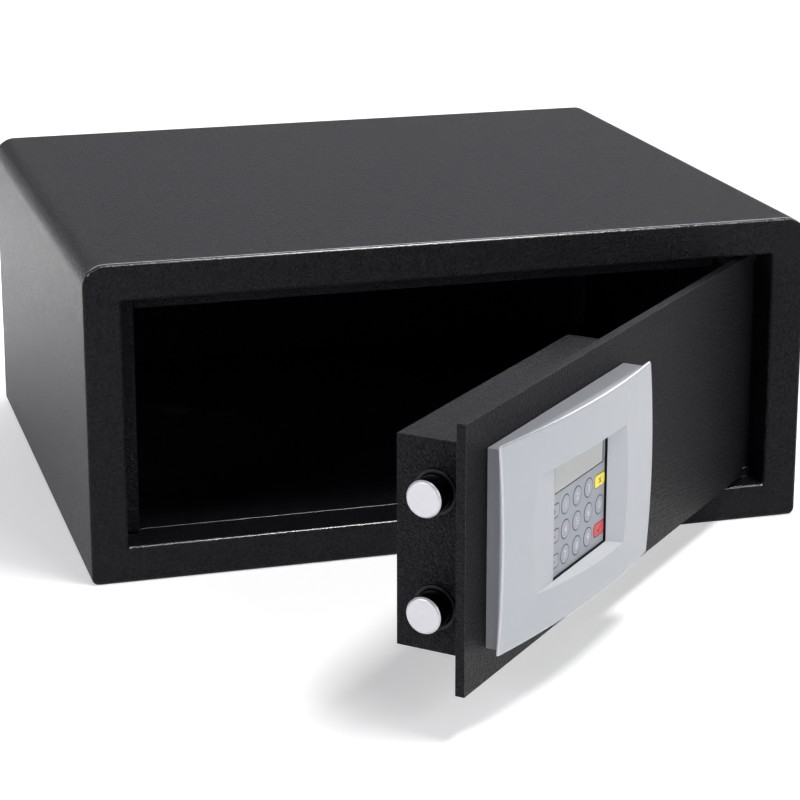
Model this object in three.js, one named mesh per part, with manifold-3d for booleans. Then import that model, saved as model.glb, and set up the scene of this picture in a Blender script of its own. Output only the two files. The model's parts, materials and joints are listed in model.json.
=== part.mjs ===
// Electronic home safe for a laptop, door standing open and both bolts thrown.
// Millimetres, +Z up. The origin is on the underside, at its centre. The front faces -Y.

import * as THREE from 'three';
import { mergeVertices } from 'three/addons/utils/BufferGeometryUtils.js';
import Module from 'manifold-3d';

const wasm = await Module();
wasm.setup();

// Case
const caseWidth = 433;
const caseDepth = 370;
const caseHeight = 187;
const sheet = 2;
const topBend = 10;
const bottomBend = 4;
const border = 21.5;
const openingCorner = 1.5;
const revealDepth = 28;
const seam = 0.2;
const stopProud = 10;
const stopThick = 6;
const stopPlay = 0.5;
const topStopShort = 29;
const fixingRadius = 6;
const floorFixingX = 120;
const floorFixingY = 60;
const wallFixingX = 130;
const wallFixingZ = 110;
const plugFlange = 9;
const plugFlangeThick = 1.2;
const cutOver = 1;

// Door and hinge
const openAngle = 45.5;
const doorGap = 2.5;
const doorRecess = 15;
const plateThick = 5;
const plateRound = 4;
const hingeSetback = 4.5;
const turnGap = 0.3;
const knuckleRadius = 4.5;
const tabThick = 4.5;
const tabDepth = 14;
const tabReach = 15;
const pinRadius = 2.5;
const pinThrough = 5.2;
const washerThick = 2;
const washerRing = 1.4;

// Lock housing on the back of the door
const housingInset = 13.5;
const housingPastLock = 35;
const housingHeight = 110;
const housingDepth = 39.4;
const housingSheet = 1.5;
const studRadius = 4;
const studInset = 11;
const screwRadius = 2;
const screwLength = 11;
const screwSlot = 1;
const screwHeadRadius = 4;
const screwHeadThick = 1.8;

// Bolts and their drive
const boltRadius = 9.55;
const boltLength = 58;
const boltChamfer = 1;
const boltSpacing = 59.7;
const boltsBelowMiddle = 1.5;
const boltBehind = 17.9;
const bushWall = 1.3;
const bushFlangeLip = 0.65;
const bushFlangeThick = 1.1;
const bushLength = 9;
const runningGap = 0.3;
const boltTravel = 12;
const carrierThick = 3;
const carrierOver = 4;
const carrierDepth = 13;
const carrierBackset = 2;
const carrierClear = 2.1;
const toothModule = 1;
const pinionTeeth = 12;
const pressureAngle = 20;
const backlash = 0.3;
const rackAddendum = 0.68;
const pinionAddendum = 0.9;
const dedendum = 1.25;
const toothSink = 0.02;
const rackWidth = 6;
const rackBody = 6.5;
const rackReach = 50;
const rackBelowMiddle = 2.5;
const motorShaftRadius = 1.5;
const gearboxLength = 26;
const gearboxHeight = 20;
const gearboxDepth = 10;
const gearboxStandoff = 1;
const motorFootLength = 13;
const motorFootHeight = 10;
const motorRadius = 5.4;
const motorLength = 22;
const guideWidth = 6;
const guideWall = 2.6;

// Batteries and reset button
const batteryRadius = 7.2;
const batteryLength = 50.5;
const batteryNub = 1.5;
const batteryNubRadius = 2.7;
const batteryPlay = 0.6;
const trayWall = 1.5;
const trayFromEnd = 51.3;
const trayFromTop = 3.5;
const coverThick = 1.5;
const coverLap = 3;
const gripWidth = 16;
const gripHeight = 1.5;
const gripInset = 4.5;
const gripDepth = 0.75;
const resetRadius = 3.5;
const resetProud = 1.5;
const resetFromEnd = 20;
const resetStem = 3;
const resetBlock = 10;
const resetDepth = 8;
const resetTravel = 1.2;

// Fascia on the front of the door, measured from the door's free edge and front face
const fasciaLeft = 20.1;
const rimLeft = 8.2;
const rimRight = 15.2;
const rimThick = 1.1;
const rimBackAcross = 2.4;
const rimBackUp = 1.3;
const crownAcross = 5.5;
const crownUp = 2.2;
const baseInset = 2.4;
const baseWall = 2.5;
const baseFloor = 2;
const shellWall = 2.2;
const coverWidth = 35.6;
const windowInset = 49.4;
const windowToSeam = 17.9;
const windowBelow = 23.6;
const windowAbove = 23.2;
const windowLip = 1.3;
const facetReach = 27;
const bevelDepth = 10;
const bevelSpread = 28.1;
const bevelRise = 9;
const seatMargin = 6;
const seatBehindBevel = 14;
const wellTop = 30;

// Keypad
const panelTop = 13;
const panelThick = 1.5;
const panelLap = 5;
const keySpaceAcross = 2;
const keySpaceUp = 1.4;
const keyMarginLeft = 2.5;
const keyMarginRight = 6.6;
const lowRow = 8.9;
const rowToDisplay = 8.1;
const keyRadius = 5.2;
const keyGap = 0.3;
const keyProud = 0.1;
const keyLip = 0.8;
const keyLipThick = 0.8;
const keyStemRadius = 2;
const keyTravel = 0.7;
const wideKeyWidth = 13;
const wideKeyHeight = 7.4;
const displayHeight = 17.4;
const displayThick = 1.1;
const displayMargin = 3;
const displaySill = 1;
const boardThick = 1.6;
const boardMargin = 6;
const postRadius = 1.2;

// Emergency lock behind the loose end of the fascia
const lockFromEnd = 11.6;
const barrelRadius = 7.5;
const barrelFront = 8;
const barrelBack = 24;
const coreRadius = 4.5;
const coreProud = 0.4;
const keywayWidth = 1.6;
const keywayHeight = 6.4;
const keywayDepth = 6;
const camThick = 2;
const camReach = 26;
const camWidth = 12;

// Cable between the keypad's board and the motor
const cableRadius = 1.5;
const cableHoleRadius = 3;
const cableInset = 43;
const cableAbove = 16;

// Places worked out from the sizes above
const frontY = -caseDepth / 2;
const backY = caseDepth / 2;
const openLeft = -caseWidth / 2 + border;
const openRight = caseWidth / 2 - border;
const openLow = border;
const openHigh = caseHeight - border;
const middle = caseHeight / 2;
const pivotX = openRight - doorGap - hingeSetback;
const pivotY = frontY + doorRecess + plateThick / 2;
const doorReach = pivotX - openLeft - doorGap;
const plateLow = openLow + doorGap;
const plateHigh = openHigh - doorGap;
const stopFront = frontY + doorRecess + plateThick + stopPlay;
const plateBack = -plateThick;
const housingFront = plateBack - turnGap;
const housingBack = plateBack - housingDepth;
const boltAxis = plateBack - boltBehind;
const carrierStart = boltLength + turnGap;
const pitchRadius = toothModule * pinionTeeth / 2;
const pinionTip = pitchRadius + pinionAddendum * toothModule;
const pinionPlace = carrierStart + carrierThick + boltTravel + carrierClear + pinionTip;
const rackPitchLine = middle - rackBelowMiddle;
const pinionHeight = rackPitchLine + pitchRadius;
const gearboxFront = plateBack - turnGap - gearboxStandoff;
const keyPitchAcross = 2 * (keyRadius + keyLip) + keySpaceAcross;
const keyPitchUp = 2 * (keyRadius + keyLip) + keySpaceUp;
const windowWidth = keyMarginLeft + 4 * keyPitchAcross + keyMarginRight;
const windowHeight = lowRow + 2 * keyPitchUp + rowToDisplay + displayHeight;
const fasciaLength = windowInset + windowWidth + windowToSeam + coverWidth;
const fasciaHeight = windowBelow + windowHeight + windowAbove;
const fasciaLow = middle - fasciaHeight / 2;
const fasciaHigh = middle + fasciaHeight / 2;
const fasciaRight = fasciaLeft + fasciaLength;
const coverSeam = fasciaRight - coverWidth;
const windowLeft = fasciaLeft + windowInset;
const windowRight = windowLeft + windowWidth;
const windowLow = fasciaLow + windowBelow;
const windowHigh = windowLow + windowHeight;
const windowLevel = panelTop + windowLip;
const lockPlace = fasciaRight - lockFromEnd;
const cablePlace = windowLeft + cableInset;
const cableHeight = windowLow + cableAbove;

const finish = {
  paint: { color: 0x29272b, roughness: 0.55, metalness: 0.1 },
  steel: { color: 0xb9babd, roughness: 0.3, metalness: 0.9 },
  chrome: { color: 0xe6e5e9, roughness: 0.12, metalness: 1 },
  blackPlastic: { color: 0x1a1a1c, roughness: 0.6, metalness: 0 },
  silverPlastic: { color: 0xbec1c7, roughness: 0.4, metalness: 0.35 },
  keypadGrey: { color: 0xa5a7af, roughness: 0.5, metalness: 0.1 },
  keyLight: { color: 0xc6c9cf, roughness: 0.5, metalness: 0 },
  yellow: { color: 0xeedc3c, roughness: 0.5, metalness: 0 },
  red: { color: 0xc83c41, roughness: 0.5, metalness: 0 },
  display: { color: 0xa8aca6, roughness: 0.15, metalness: 0 },
  board: { color: 0x1d6b3c, roughness: 0.6, metalness: 0 },
  brass: { color: 0xb99b53, roughness: 0.35, metalness: 0.9 },
  nylon: { color: 0xe4e1d6, roughness: 0.6, metalness: 0 },
  battery: { color: 0x3c4a8c, roughness: 0.4, metalness: 0.3 },
};

// Solids

function solidOf(geometry) {
  const bare = geometry.clone();
  bare.deleteAttribute('normal');
  bare.deleteAttribute('uv');
  const merged = mergeVertices(bare, 1e-4);
  const mesh = new wasm.Mesh({
    numProp: 3,
    vertProperties: new Float32Array(merged.attributes.position.array),
    triVerts: new Uint32Array(merged.index.array),
  });
  return new wasm.Manifold(mesh);
}

function geometryOf(solid) {
  const mesh = solid.getMesh();
  const geometry = new THREE.BufferGeometry();
  geometry.setAttribute('position', new THREE.BufferAttribute(new Float32Array(mesh.vertProperties), 3));
  geometry.setIndex(new THREE.BufferAttribute(new Uint32Array(mesh.triVerts), 1));
  geometry.computeVertexNormals();
  return geometry;
}

function named(name, solid, look) {
  const mesh = new THREE.Mesh(geometryOf(solid), new THREE.MeshStandardMaterial(finish[look]));
  mesh.name = name;
  return mesh;
}

function join(solids) {
  return solids.reduce((sum, solid) => sum.add(solid));
}

function cut(solid, tools) {
  return tools.reduce((left, tool) => left.subtract(tool), solid);
}

function block(x, y, z) {
  const geometry = new THREE.BoxGeometry(x[1] - x[0], y[1] - y[0], z[1] - z[0]);
  geometry.translate((x[0] + x[1]) / 2, (y[0] + y[1]) / 2, (z[0] + z[1]) / 2);
  return solidOf(geometry);
}

// A turned piece: profile points are [radius, place along the axis], ending on the axis or closing
function turned(profile, axis, centre, steps = 24) {
  const geometry = new THREE.LatheGeometry(profile.map(([r, a]) => new THREE.Vector2(r, a)), steps);
  if (axis === 'z') geometry.rotateX(Math.PI / 2);
  if (axis === 'x') geometry.rotateZ(-Math.PI / 2);
  geometry.translate(...centre);
  return solidOf(geometry);
}

function rod(radius, span, axis, centre, steps = 24) {
  return turned([[0, span[0]], [radius, span[0]], [radius, span[1]], [0, span[1]]], axis, centre, steps);
}

function tube(outer, inner, span, axis, centre, steps = 24) {
  const profile = [[inner, span[0]], [outer, span[0]], [outer, span[1]], [inner, span[1]], [inner, span[0]]];
  return turned(profile, axis, centre, steps);
}

// An outline in X and Z, run along Y
function alongY(outline, holes, y, steps = 6) {
  const shape = new THREE.Shape(outline.getPoints(steps));
  shape.holes = holes.map((hole) => new THREE.Path(hole.getPoints(steps)));
  const geometry = new THREE.ExtrudeGeometry(shape, { depth: y[1] - y[0], bevelEnabled: false });
  geometry.rotateX(Math.PI / 2);
  geometry.translate(0, y[1], 0);
  return solidOf(geometry);
}

function roundedOutline(x, z, lowRadius, highRadius) {
  const path = new THREE.Path();
  path.moveTo(x[0] + lowRadius, z[0]);
  path.lineTo(x[1] - lowRadius, z[0]);
  path.absarc(x[1] - lowRadius, z[0] + lowRadius, lowRadius, -Math.PI / 2, 0, false);
  path.lineTo(x[1], z[1] - highRadius);
  path.absarc(x[1] - highRadius, z[1] - highRadius, highRadius, 0, Math.PI / 2, false);
  path.lineTo(x[0] + highRadius, z[1]);
  path.absarc(x[0] + highRadius, z[1] - highRadius, highRadius, Math.PI / 2, Math.PI, false);
  path.lineTo(x[0], z[0] + lowRadius);
  path.absarc(x[0] + lowRadius, z[0] + lowRadius, lowRadius, Math.PI, Math.PI * 1.5, false);
  return path;
}

// Places on the door: along it from its free edge, out from its front face
const across = (place) => place - doorReach;
const outward = (height) => -plateThick / 2 - height;

function doorBlock(place, height, z) {
  return block(place.map(across), [outward(height[1]), outward(height[0])], z);
}

function doorRod(radius, height, place, z, steps = 24) {
  return rod(radius, [outward(height[1]), outward(height[0])], 'y', [across(place), 0, z], steps);
}

// A block on the door with its back and front surfaces given as functions of place and z
function bentBlock(place, z, backAt, frontAt, columns, rows) {
  const geometry = new THREE.BoxGeometry(1, 1, 1, columns, 1, rows);
  const position = geometry.attributes.position;
  for (let i = 0; i < position.count; i += 1) {
    const s = THREE.MathUtils.lerp(place[0], place[1], position.getX(i) + 0.5);
    const up = THREE.MathUtils.lerp(z[0], z[1], position.getZ(i) + 0.5);
    const height = position.getY(i) > 0 ? backAt(s, up) : frontAt(s, up);
    position.setXYZ(i, across(s), outward(height), up);
  }
  return solidOf(geometry);
}

// Case pieces

function caseOutline(inset) {
  return roundedOutline(
    [-caseWidth / 2 + inset, caseWidth / 2 - inset],
    [inset, caseHeight - inset],
    bottomBend - inset,
    topBend - inset,
  );
}

function openingOutline(grow) {
  return roundedOutline(
    [openLeft - grow, openRight + grow],
    [openLow - grow, openHigh + grow],
    openingCorner + grow,
    openingCorner + grow,
  );
}

function makeShell() {
  const walls = alongY(caseOutline(0), [caseOutline(sheet)], [frontY + sheet + seam, backY - sheet - seam]);
  const holes = [-1, 1].map((side) =>
    rod(fixingRadius, [-cutOver, sheet + cutOver], 'z', [side * floorFixingX, floorFixingY, 0]));
  return cut(walls, holes);
}

function makeFrontFrame() {
  const face = alongY(caseOutline(0), [openingOutline(0)], [frontY, frontY + sheet]);
  const reveal = alongY(openingOutline(sheet), [openingOutline(0)], [frontY, frontY + revealDepth]);
  const through = [openLow - sheet - cutOver, openHigh + sheet + cutOver];
  const pinHole = rod(pinRadius + runningGap, through, 'z', [pivotX, pivotY, 0]);
  return cut(face.add(reveal), [pinHole]);
}

function makeBackPanel() {
  const panel = alongY(caseOutline(0), [], [backY - sheet, backY]);
  const holes = [-1, 1].map((side) =>
    rod(fixingRadius, [backY - sheet - cutOver, backY + cutOver], 'y', [side * wallFixingX, 0, wallFixingZ]));
  return cut(panel, holes);
}

function makeLeftStop() {
  return block(
    [openLeft + seam, openLeft + stopProud],
    [stopFront, stopFront + stopThick],
    [openLow + openingCorner, openHigh - openingCorner],
  );
}

function makeTopStop() {
  return block(
    [openLeft + stopProud + seam, openRight - topStopShort],
    [stopFront, stopFront + stopThick],
    [openHigh - stopProud, openHigh - seam],
  );
}

function makeRaisedFloor() {
  const x = caseWidth / 2 - sheet - seam;
  const y = [frontY + revealDepth + seam, backY - sheet - 2 * seam];
  const top = block([-x, x], y, [openLow - sheet, openLow]);
  const legs = [-1, 1].map((side) =>
    block([side * x, side * (x - sheet)].sort((a, b) => a - b), y, [bottomBend, openLow - sheet / 2]));
  const middleLeg = block([-sheet / 2, sheet / 2], y, [sheet + seam, openLow - sheet / 2]);
  const through = [openLow - sheet - cutOver, openLow + cutOver];
  const holes = [-1, 1].map((side) =>
    rod(fixingRadius, through, 'z', [side * floorFixingX, floorFixingY, 0]));
  return cut(join([top, ...legs, middleLeg]), holes);
}

// A press-in plug: a flange on the near face of the sheet and a stem through its hole
function plugProfile() {
  const stem = fixingRadius - runningGap;
  return [
    [0, -sheet - seam], [stem, -sheet - seam], [stem, seam], [plugFlange, seam],
    [plugFlange, seam + plugFlangeThick], [0, seam + plugFlangeThick],
  ];
}

function makeFloorPlug(side) {
  return turned(plugProfile(), 'z', [side * floorFixingX, floorFixingY, openLow]);
}

function makeWasher() {
  const low = openLow + seam;
  const bore = pinRadius + runningGap;
  return tube(bore + washerRing, bore, [low, low + washerThick], 'z', [pivotX, pivotY, 0]);
}

// Door plate and hinge

const tabSpan = (end) => (end < 0 ? [plateLow, plateLow + tabThick] : [plateHigh - tabThick, plateHigh]);

function makePlate() {
  const end = doorReach + hingeSetback;
  const plate = doorBlock([0, end], [plateBack, 0], [plateLow, plateHigh]);
  const beyond = [plateLow - cutOver, plateHigh + cutOver];
  const sharpEdge = doorBlock([end - plateRound, end + cutOver], [-plateRound, cutOver], beyond)
    .subtract(rod(plateRound, beyond, 'z', [across(end - plateRound), outward(-plateRound), 0], 48));
  const notches = [-1, 1].map((side) => {
    const span = tabSpan(side);
    return doorBlock(
      [doorReach - knuckleRadius - turnGap, end + cutOver],
      [plateBack - cutOver, cutOver],
      [span[0] - (side < 0 ? cutOver : turnGap), span[1] + (side < 0 ? turnGap : cutOver)],
    );
  });
  const through = [plateBack - cutOver, cutOver];
  const lockHole = doorRod(barrelRadius + turnGap, through, lockPlace, middle);
  const cableHole = doorRod(cableHoleRadius, through, cablePlace, cableHeight);
  return cut(plate, [sharpEdge, ...notches, lockHole, cableHole]);
}

function makeHingeTab(end) {
  const span = tabSpan(end);
  const behind = plateThick / 2 + turnGap;
  const knuckle = rod(knuckleRadius, span, 'z', [0, 0, 0]);
  const arm = block([-knuckleRadius, knuckleRadius], [0, tabDepth], span);
  const foot = block([-tabReach, knuckleRadius], [behind, tabDepth], span);
  const bore = rod(pinRadius + turnGap, [span[0] - cutOver, span[1] + cutOver], 'z', [0, 0, 0]);
  return cut(join([knuckle, arm, foot]), [bore]);
}

function makeHingePin(end) {
  const span = tabSpan(end);
  const z = end < 0 ? [span[0] - pinThrough, span[1]] : [span[0], span[1] + pinThrough];
  return rod(pinRadius, z, 'z', [0, 0, 0]);
}

// Lock housing

const housingEnd = lockPlace + housingPastLock;
const housingLow = middle - housingHeight / 2;
const housingHigh = middle + housingHeight / 2;
const trayInner = [2 * batteryRadius * 2 + 2 * batteryPlay, batteryLength + 2 * batteryPlay];
const trayEnd = housingEnd - trayFromEnd;
const trayStart = trayEnd - trayInner[1] - 2 * trayWall;
const trayHigh = housingHigh - trayFromTop;
const trayLow = trayHigh - trayInner[0] - 2 * trayWall;
const trayBack = housingBack + housingSheet + turnGap;
const resetPlace = housingEnd - resetFromEnd;
const resetHeight = (trayLow + trayHigh) / 2;
const wallThrough = [housingBack - cutOver, housingBack + housingSheet + cutOver];
const boltsMiddle = middle - boltsBelowMiddle;
const boltHeights = [boltsMiddle - boltSpacing / 2, boltsMiddle + boltSpacing / 2];
const studPlaces = [housingInset + studInset, housingEnd - studInset];

function makeHousing() {
  const outer = doorBlock([housingInset, housingEnd], [housingBack, housingFront], [housingLow, housingHigh]);
  const inner = doorBlock(
    [housingInset + housingSheet, housingEnd - housingSheet],
    [housingBack + housingSheet, housingFront + cutOver],
    [housingLow + housingSheet, housingHigh - housingSheet],
  );
  const bolts = boltHeights.map((z) => {
    const span = [across(housingInset) - cutOver, across(housingInset) + housingSheet + cutOver];
    return rod(boltRadius + runningGap + bushWall + turnGap, span, 'x', [0, outward(boltAxis), z]);
  });
  const screws = studPlaces.map((place) =>
    doorRod(screwRadius + turnGap, wallThrough, place, middle, 12));
  const hatch = doorBlock(
    [trayStart + trayWall, trayEnd - trayWall],
    wallThrough,
    [trayLow + trayWall, trayHigh - trayWall],
  );
  const reset = doorRod(resetRadius + turnGap, wallThrough, resetPlace, resetHeight, 16);
  return cut(outer, [inner, ...bolts, ...screws, hatch, reset]);
}

function makeStud(place) {
  const base = doorRod(studRadius, [housingBack + housingSheet + turnGap, housingFront], place, middle, 6);
  const depth = [housingBack, housingBack + screwLength + cutOver];
  const bore = doorRod(screwRadius + turnGap, depth, place, middle, 12);
  return base.subtract(bore);
}

function makeScrew(place) {
  const seat = housingBack - turnGap;
  const head = doorRod(screwHeadRadius, [seat - screwHeadThick, seat], place, middle, 16);
  const shank = doorRod(screwRadius, [seat - screwHeadThick / 2, housingBack + screwLength], place, middle, 12);
  const drive = doorBlock(
    [place - screwHeadRadius, place + screwHeadRadius],
    [seat - screwHeadThick - cutOver, seat - screwHeadThick / 2],
    [middle - screwSlot / 2, middle + screwSlot / 2],
  );
  return head.add(shank).subtract(drive);
}

// Bolts, carrier and drive

function makeBolt(z) {
  const start = across(0);
  const profile = [
    [0, start], [boltRadius - boltChamfer, start], [boltRadius, start + boltChamfer],
    [boltRadius, start + boltLength], [0, start + boltLength],
  ];
  return turned(profile, 'x', [0, outward(boltAxis), z], 32);
}

function makeBush(z) {
  const inner = boltRadius + runningGap;
  const outer = inner + bushWall;
  const face = across(housingInset) - turnGap;
  const centre = [0, outward(boltAxis), z];
  const flange = tube(outer + bushFlangeLip, inner, [face - bushFlangeThick, face], 'x', centre, 32);
  const sleeve = tube(outer, inner, [face - bushFlangeThick, face + bushLength], 'x', centre, 32);
  return flange.add(sleeve);
}

function rackTeeth() {
  const pitch = Math.PI * toothModule;
  const slope = Math.tan(THREE.MathUtils.degToRad(pressureAngle));
  const half = pitch / 4 - backlash / 4;
  const tip = rackAddendum * toothModule;
  const root = dedendum * toothModule;
  const width = [outward(boltAxis) - rackWidth / 2, outward(boltAxis) + rackWidth / 2];
  const first = -Math.ceil((boltTravel + pitchRadius) / pitch);
  const last = Math.ceil(pitchRadius / pitch);
  const teeth = [];
  for (let k = first; k <= last; k += 1) {
    const tooth = new THREE.Path();
    const x = across(pinionPlace) + k * pitch;
    tooth.moveTo(x - half - root * slope - toothSink, rackPitchLine - root - toothSink);
    tooth.lineTo(x + half + root * slope + toothSink, rackPitchLine - root - toothSink);
    tooth.lineTo(x + half - tip * slope, rackPitchLine + tip);
    tooth.lineTo(x - half + tip * slope, rackPitchLine + tip);
    teeth.push(alongY(tooth, [], width, 1));
  }
  return teeth;
}

function makeCarrier() {
  const reach = boltSpacing / 2 + boltRadius + carrierOver;
  const root = rackPitchLine - dedendum * toothModule;
  const bar = doorBlock(
    [carrierStart, carrierStart + carrierThick],
    [boltAxis - carrierDepth / 2 - carrierBackset, boltAxis + carrierDepth / 2 - carrierBackset],
    [boltsMiddle - reach, boltsMiddle + reach],
  );
  const arm = doorBlock(
    [carrierStart, carrierStart + carrierThick + rackReach],
    [boltAxis - rackWidth / 2, boltAxis + rackWidth / 2],
    [root - rackBody, root],
  );
  return join([bar, arm, ...rackTeeth()]);
}

function makePinion() {
  const base = pitchRadius * Math.cos(THREE.MathUtils.degToRad(pressureAngle));
  const root = pitchRadius - dedendum * toothModule;
  const spread = (angle) => Math.tan(angle) - angle;
  const atPitch = Math.PI / (2 * pinionTeeth) - backlash / (4 * pitchRadius)
    + spread(THREE.MathUtils.degToRad(pressureAngle));
  const halfAngle = (r) => atPitch - (r > base ? spread(Math.acos(base / r)) : 0);
  const radii = [root, base, pitchRadius, (pitchRadius + pinionTip) / 2, pinionTip];
  const points = [];
  for (let k = 0; k < pinionTeeth; k += 1) {
    const mid = -Math.PI / 2 + (k + 0.5) * 2 * Math.PI / pinionTeeth;
    for (const r of radii) points.push([r, mid - halfAngle(r)]);
    for (const r of [...radii].reverse()) points.push([r, mid + halfAngle(r)]);
  }
  const outline = new THREE.Path();
  points.forEach(([r, a], i) => {
    const x = across(pinionPlace) + r * Math.cos(a);
    const z = pinionHeight + r * Math.sin(a);
    if (i === 0) outline.moveTo(x, z);
    else outline.lineTo(x, z);
  });
  const width = [outward(boltAxis) - rackWidth / 2, outward(boltAxis) + rackWidth / 2];
  const centre = [across(pinionPlace), 0, pinionHeight];
  const bore = rod(motorShaftRadius + runningGap, [width[0] - cutOver, width[1] + cutOver], 'y', centre, 16);
  return alongY(outline, [], width, 1).subtract(bore);
}

function makeMotor() {
  const gearbox = doorBlock(
    [pinionPlace - gearboxLength / 2, pinionPlace + gearboxLength / 2],
    [gearboxFront - gearboxDepth, gearboxFront],
    [pinionHeight - gearboxHeight / 2, pinionHeight + gearboxHeight / 2],
  );
  const foot = doorBlock(
    [pinionPlace - motorFootLength / 2, pinionPlace + motorFootLength / 2],
    [gearboxFront - gearboxStandoff, plateBack - turnGap],
    [pinionHeight - motorFootHeight / 2, pinionHeight + motorFootHeight / 2],
  );
  const level = gearboxFront - gearboxDepth / 2;
  const centre = [across(pinionPlace + gearboxLength / 2), outward(level), pinionHeight];
  const can = rod(motorRadius, [-cutOver, motorLength], 'x', centre);
  const shaftEnd = boltAxis - rackWidth / 2 - gearboxStandoff;
  const shaft = doorRod(motorShaftRadius, [shaftEnd, level], pinionPlace, pinionHeight, 16);
  return join([gearbox, foot, can, shaft]);
}

function makeGuide() {
  const start = carrierStart + carrierThick + rackReach - 2 * guideWidth;
  const root = rackPitchLine - dedendum * toothModule;
  const slot = [root - rackBody - runningGap, rackPitchLine + rackAddendum * toothModule + runningGap];
  const behind = boltAxis - rackWidth / 2 - runningGap;
  const head = doorBlock(
    [start, start + guideWidth],
    [behind - guideWall, boltAxis + rackWidth / 2 + runningGap],
    [slot[0] - guideWall, slot[1] + guideWall],
  );
  const through = [start - cutOver, start + guideWidth + cutOver];
  const groove = doorBlock(through, [behind, boltAxis + rackWidth], slot);
  const foot = doorBlock(
    [start, start + guideWidth],
    [boltAxis, plateBack - turnGap],
    [slot[0] - guideWall, slot[0]],
  );
  return join([head.subtract(groove), foot]);
}

// Batteries

function makeTray() {
  const front = trayBack + trayInner[0] + trayWall;
  const outer = doorBlock([trayStart, trayEnd], [trayBack, front], [trayLow, trayHigh]);
  const inner = doorBlock(
    [trayStart + trayWall, trayEnd - trayWall],
    [trayBack - cutOver, front - trayWall],
    [trayLow + trayWall, trayHigh - trayWall],
  );
  return outer.subtract(inner);
}

function makeBattery(row, layer) {
  const z = trayLow + trayWall + trayInner[0] * (row + 0.5) / 2;
  const height = trayBack + trayInner[0] * (layer + 0.5) / 2;
  const start = across(trayStart + trayWall + batteryPlay);
  const end = start + batteryLength;
  const profile = [
    [0, start], [batteryRadius, start], [batteryRadius, end - batteryNub],
    [batteryNubRadius, end - batteryNub], [batteryNubRadius, end], [0, end],
  ];
  return turned(profile, 'x', [0, outward(height), z], 16);
}

function makeBatteryCover() {
  const outside = housingBack - turnGap - coverThick;
  const centre = (trayStart + trayEnd) / 2;
  const lid = doorBlock(
    [trayStart + trayWall - coverLap, trayEnd - trayWall + coverLap],
    [outside, outside + coverThick],
    [trayLow + trayWall - coverLap, trayHigh - trayWall + coverLap],
  );
  const grip = doorBlock(
    [centre - gripWidth / 2, centre + gripWidth / 2],
    [outside - cutOver, outside + gripDepth],
    [trayLow + gripInset, trayLow + gripInset + gripHeight],
  );
  return lid.subtract(grip);
}

function makeResetSwitch() {
  const back = housingBack + housingSheet + turnGap;
  const body = doorBlock(
    [resetPlace - resetBlock / 2, resetPlace + resetBlock / 2],
    [back, back + resetDepth],
    [resetHeight - resetBlock / 2, resetHeight + resetBlock / 2],
  );
  const depth = back + resetStem + resetTravel + turnGap;
  return body.subtract(doorRod(resetRadius + turnGap, [back - cutOver, depth], resetPlace, resetHeight, 16));
}

function makeResetButton() {
  const back = housingBack + housingSheet + turnGap;
  return doorRod(resetRadius, [housingBack - resetProud, back + resetStem], resetPlace, resetHeight, 16);
}

// Fascia

const rimAt = (s) => THREE.MathUtils.lerp(rimLeft, rimRight, (s - fasciaLeft) / fasciaLength);

// A height that rises from the rim towards the middle, along the fascia and up it
function crowned(s, z, riseAcross, riseUp) {
  const side = 2 * (s - fasciaLeft) / fasciaLength - 1;
  const end = (z - middle) / (fasciaHeight / 2);
  return rimAt(s) + riseAcross * (1 - side * side) + riseUp * (1 - end * end);
}

const crownAt = (s, z) => crowned(s, z, crownAcross, crownUp);
const rimBackAt = (s, z) => crowned(s, z, rimBackAcross, rimBackUp) - rimThick;
const panelSeat = panelTop + keyProud + turnGap;

// The opening, and the recess round it: level to its left, rising to its right and below it
function windowTools() {
  const through = doorBlock([windowLeft, windowRight], [0, wellTop], [windowLow, windowHigh]);
  const slope = new THREE.BoxGeometry(1, 1, 1);
  const position = slope.attributes.position;
  for (let i = 0; i < position.count; i += 1) {
    const right = position.getX(i) > 0;
    const top = position.getZ(i) > 0;
    const front = position.getY(i) < 0;
    const s = right ? windowRight + (front ? bevelSpread : 0) : windowLeft - facetReach;
    const z = top ? windowHigh : windowLow - (front ? bevelRise : 0);
    const height = windowLevel + (front ? bevelDepth : 0);
    position.setXYZ(i, across(s), outward(height), z);
  }
  return [through, solidOf(slope)];
}

function makeCap() {
  const outer = bentBlock([fasciaLeft, coverSeam], [fasciaLow, fasciaHigh], rimBackAt, crownAt, 22, 12);
  const hollow = bentBlock(
    [fasciaLeft + shellWall, coverSeam - shellWall],
    [fasciaLow + shellWall, fasciaHigh - shellWall],
    (s, z) => rimBackAt(s, z) - cutOver,
    (s, z) => crownAt(s, z) - shellWall,
    12,
    6,
  );
  const seat = doorBlock(
    [windowLeft - seatMargin, windowRight + seatBehindBevel],
    [panelSeat, wellTop],
    [windowLow - seatMargin, windowHigh + seatMargin],
  );
  return cut(outer, [hollow.subtract(seat), ...windowTools()]);
}

function makeKeyCover() {
  const start = coverSeam + turnGap;
  const outer = bentBlock([start, fasciaRight], [fasciaLow, fasciaHigh], rimBackAt, crownAt, 8, 12);
  const hollow = bentBlock(
    [start + shellWall, fasciaRight - shellWall],
    [fasciaLow + shellWall, fasciaHigh - shellWall],
    (s, z) => rimBackAt(s, z) - cutOver,
    (s, z) => crownAt(s, z) - shellWall,
    5,
    6,
  );
  return outer.subtract(hollow);
}

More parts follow.
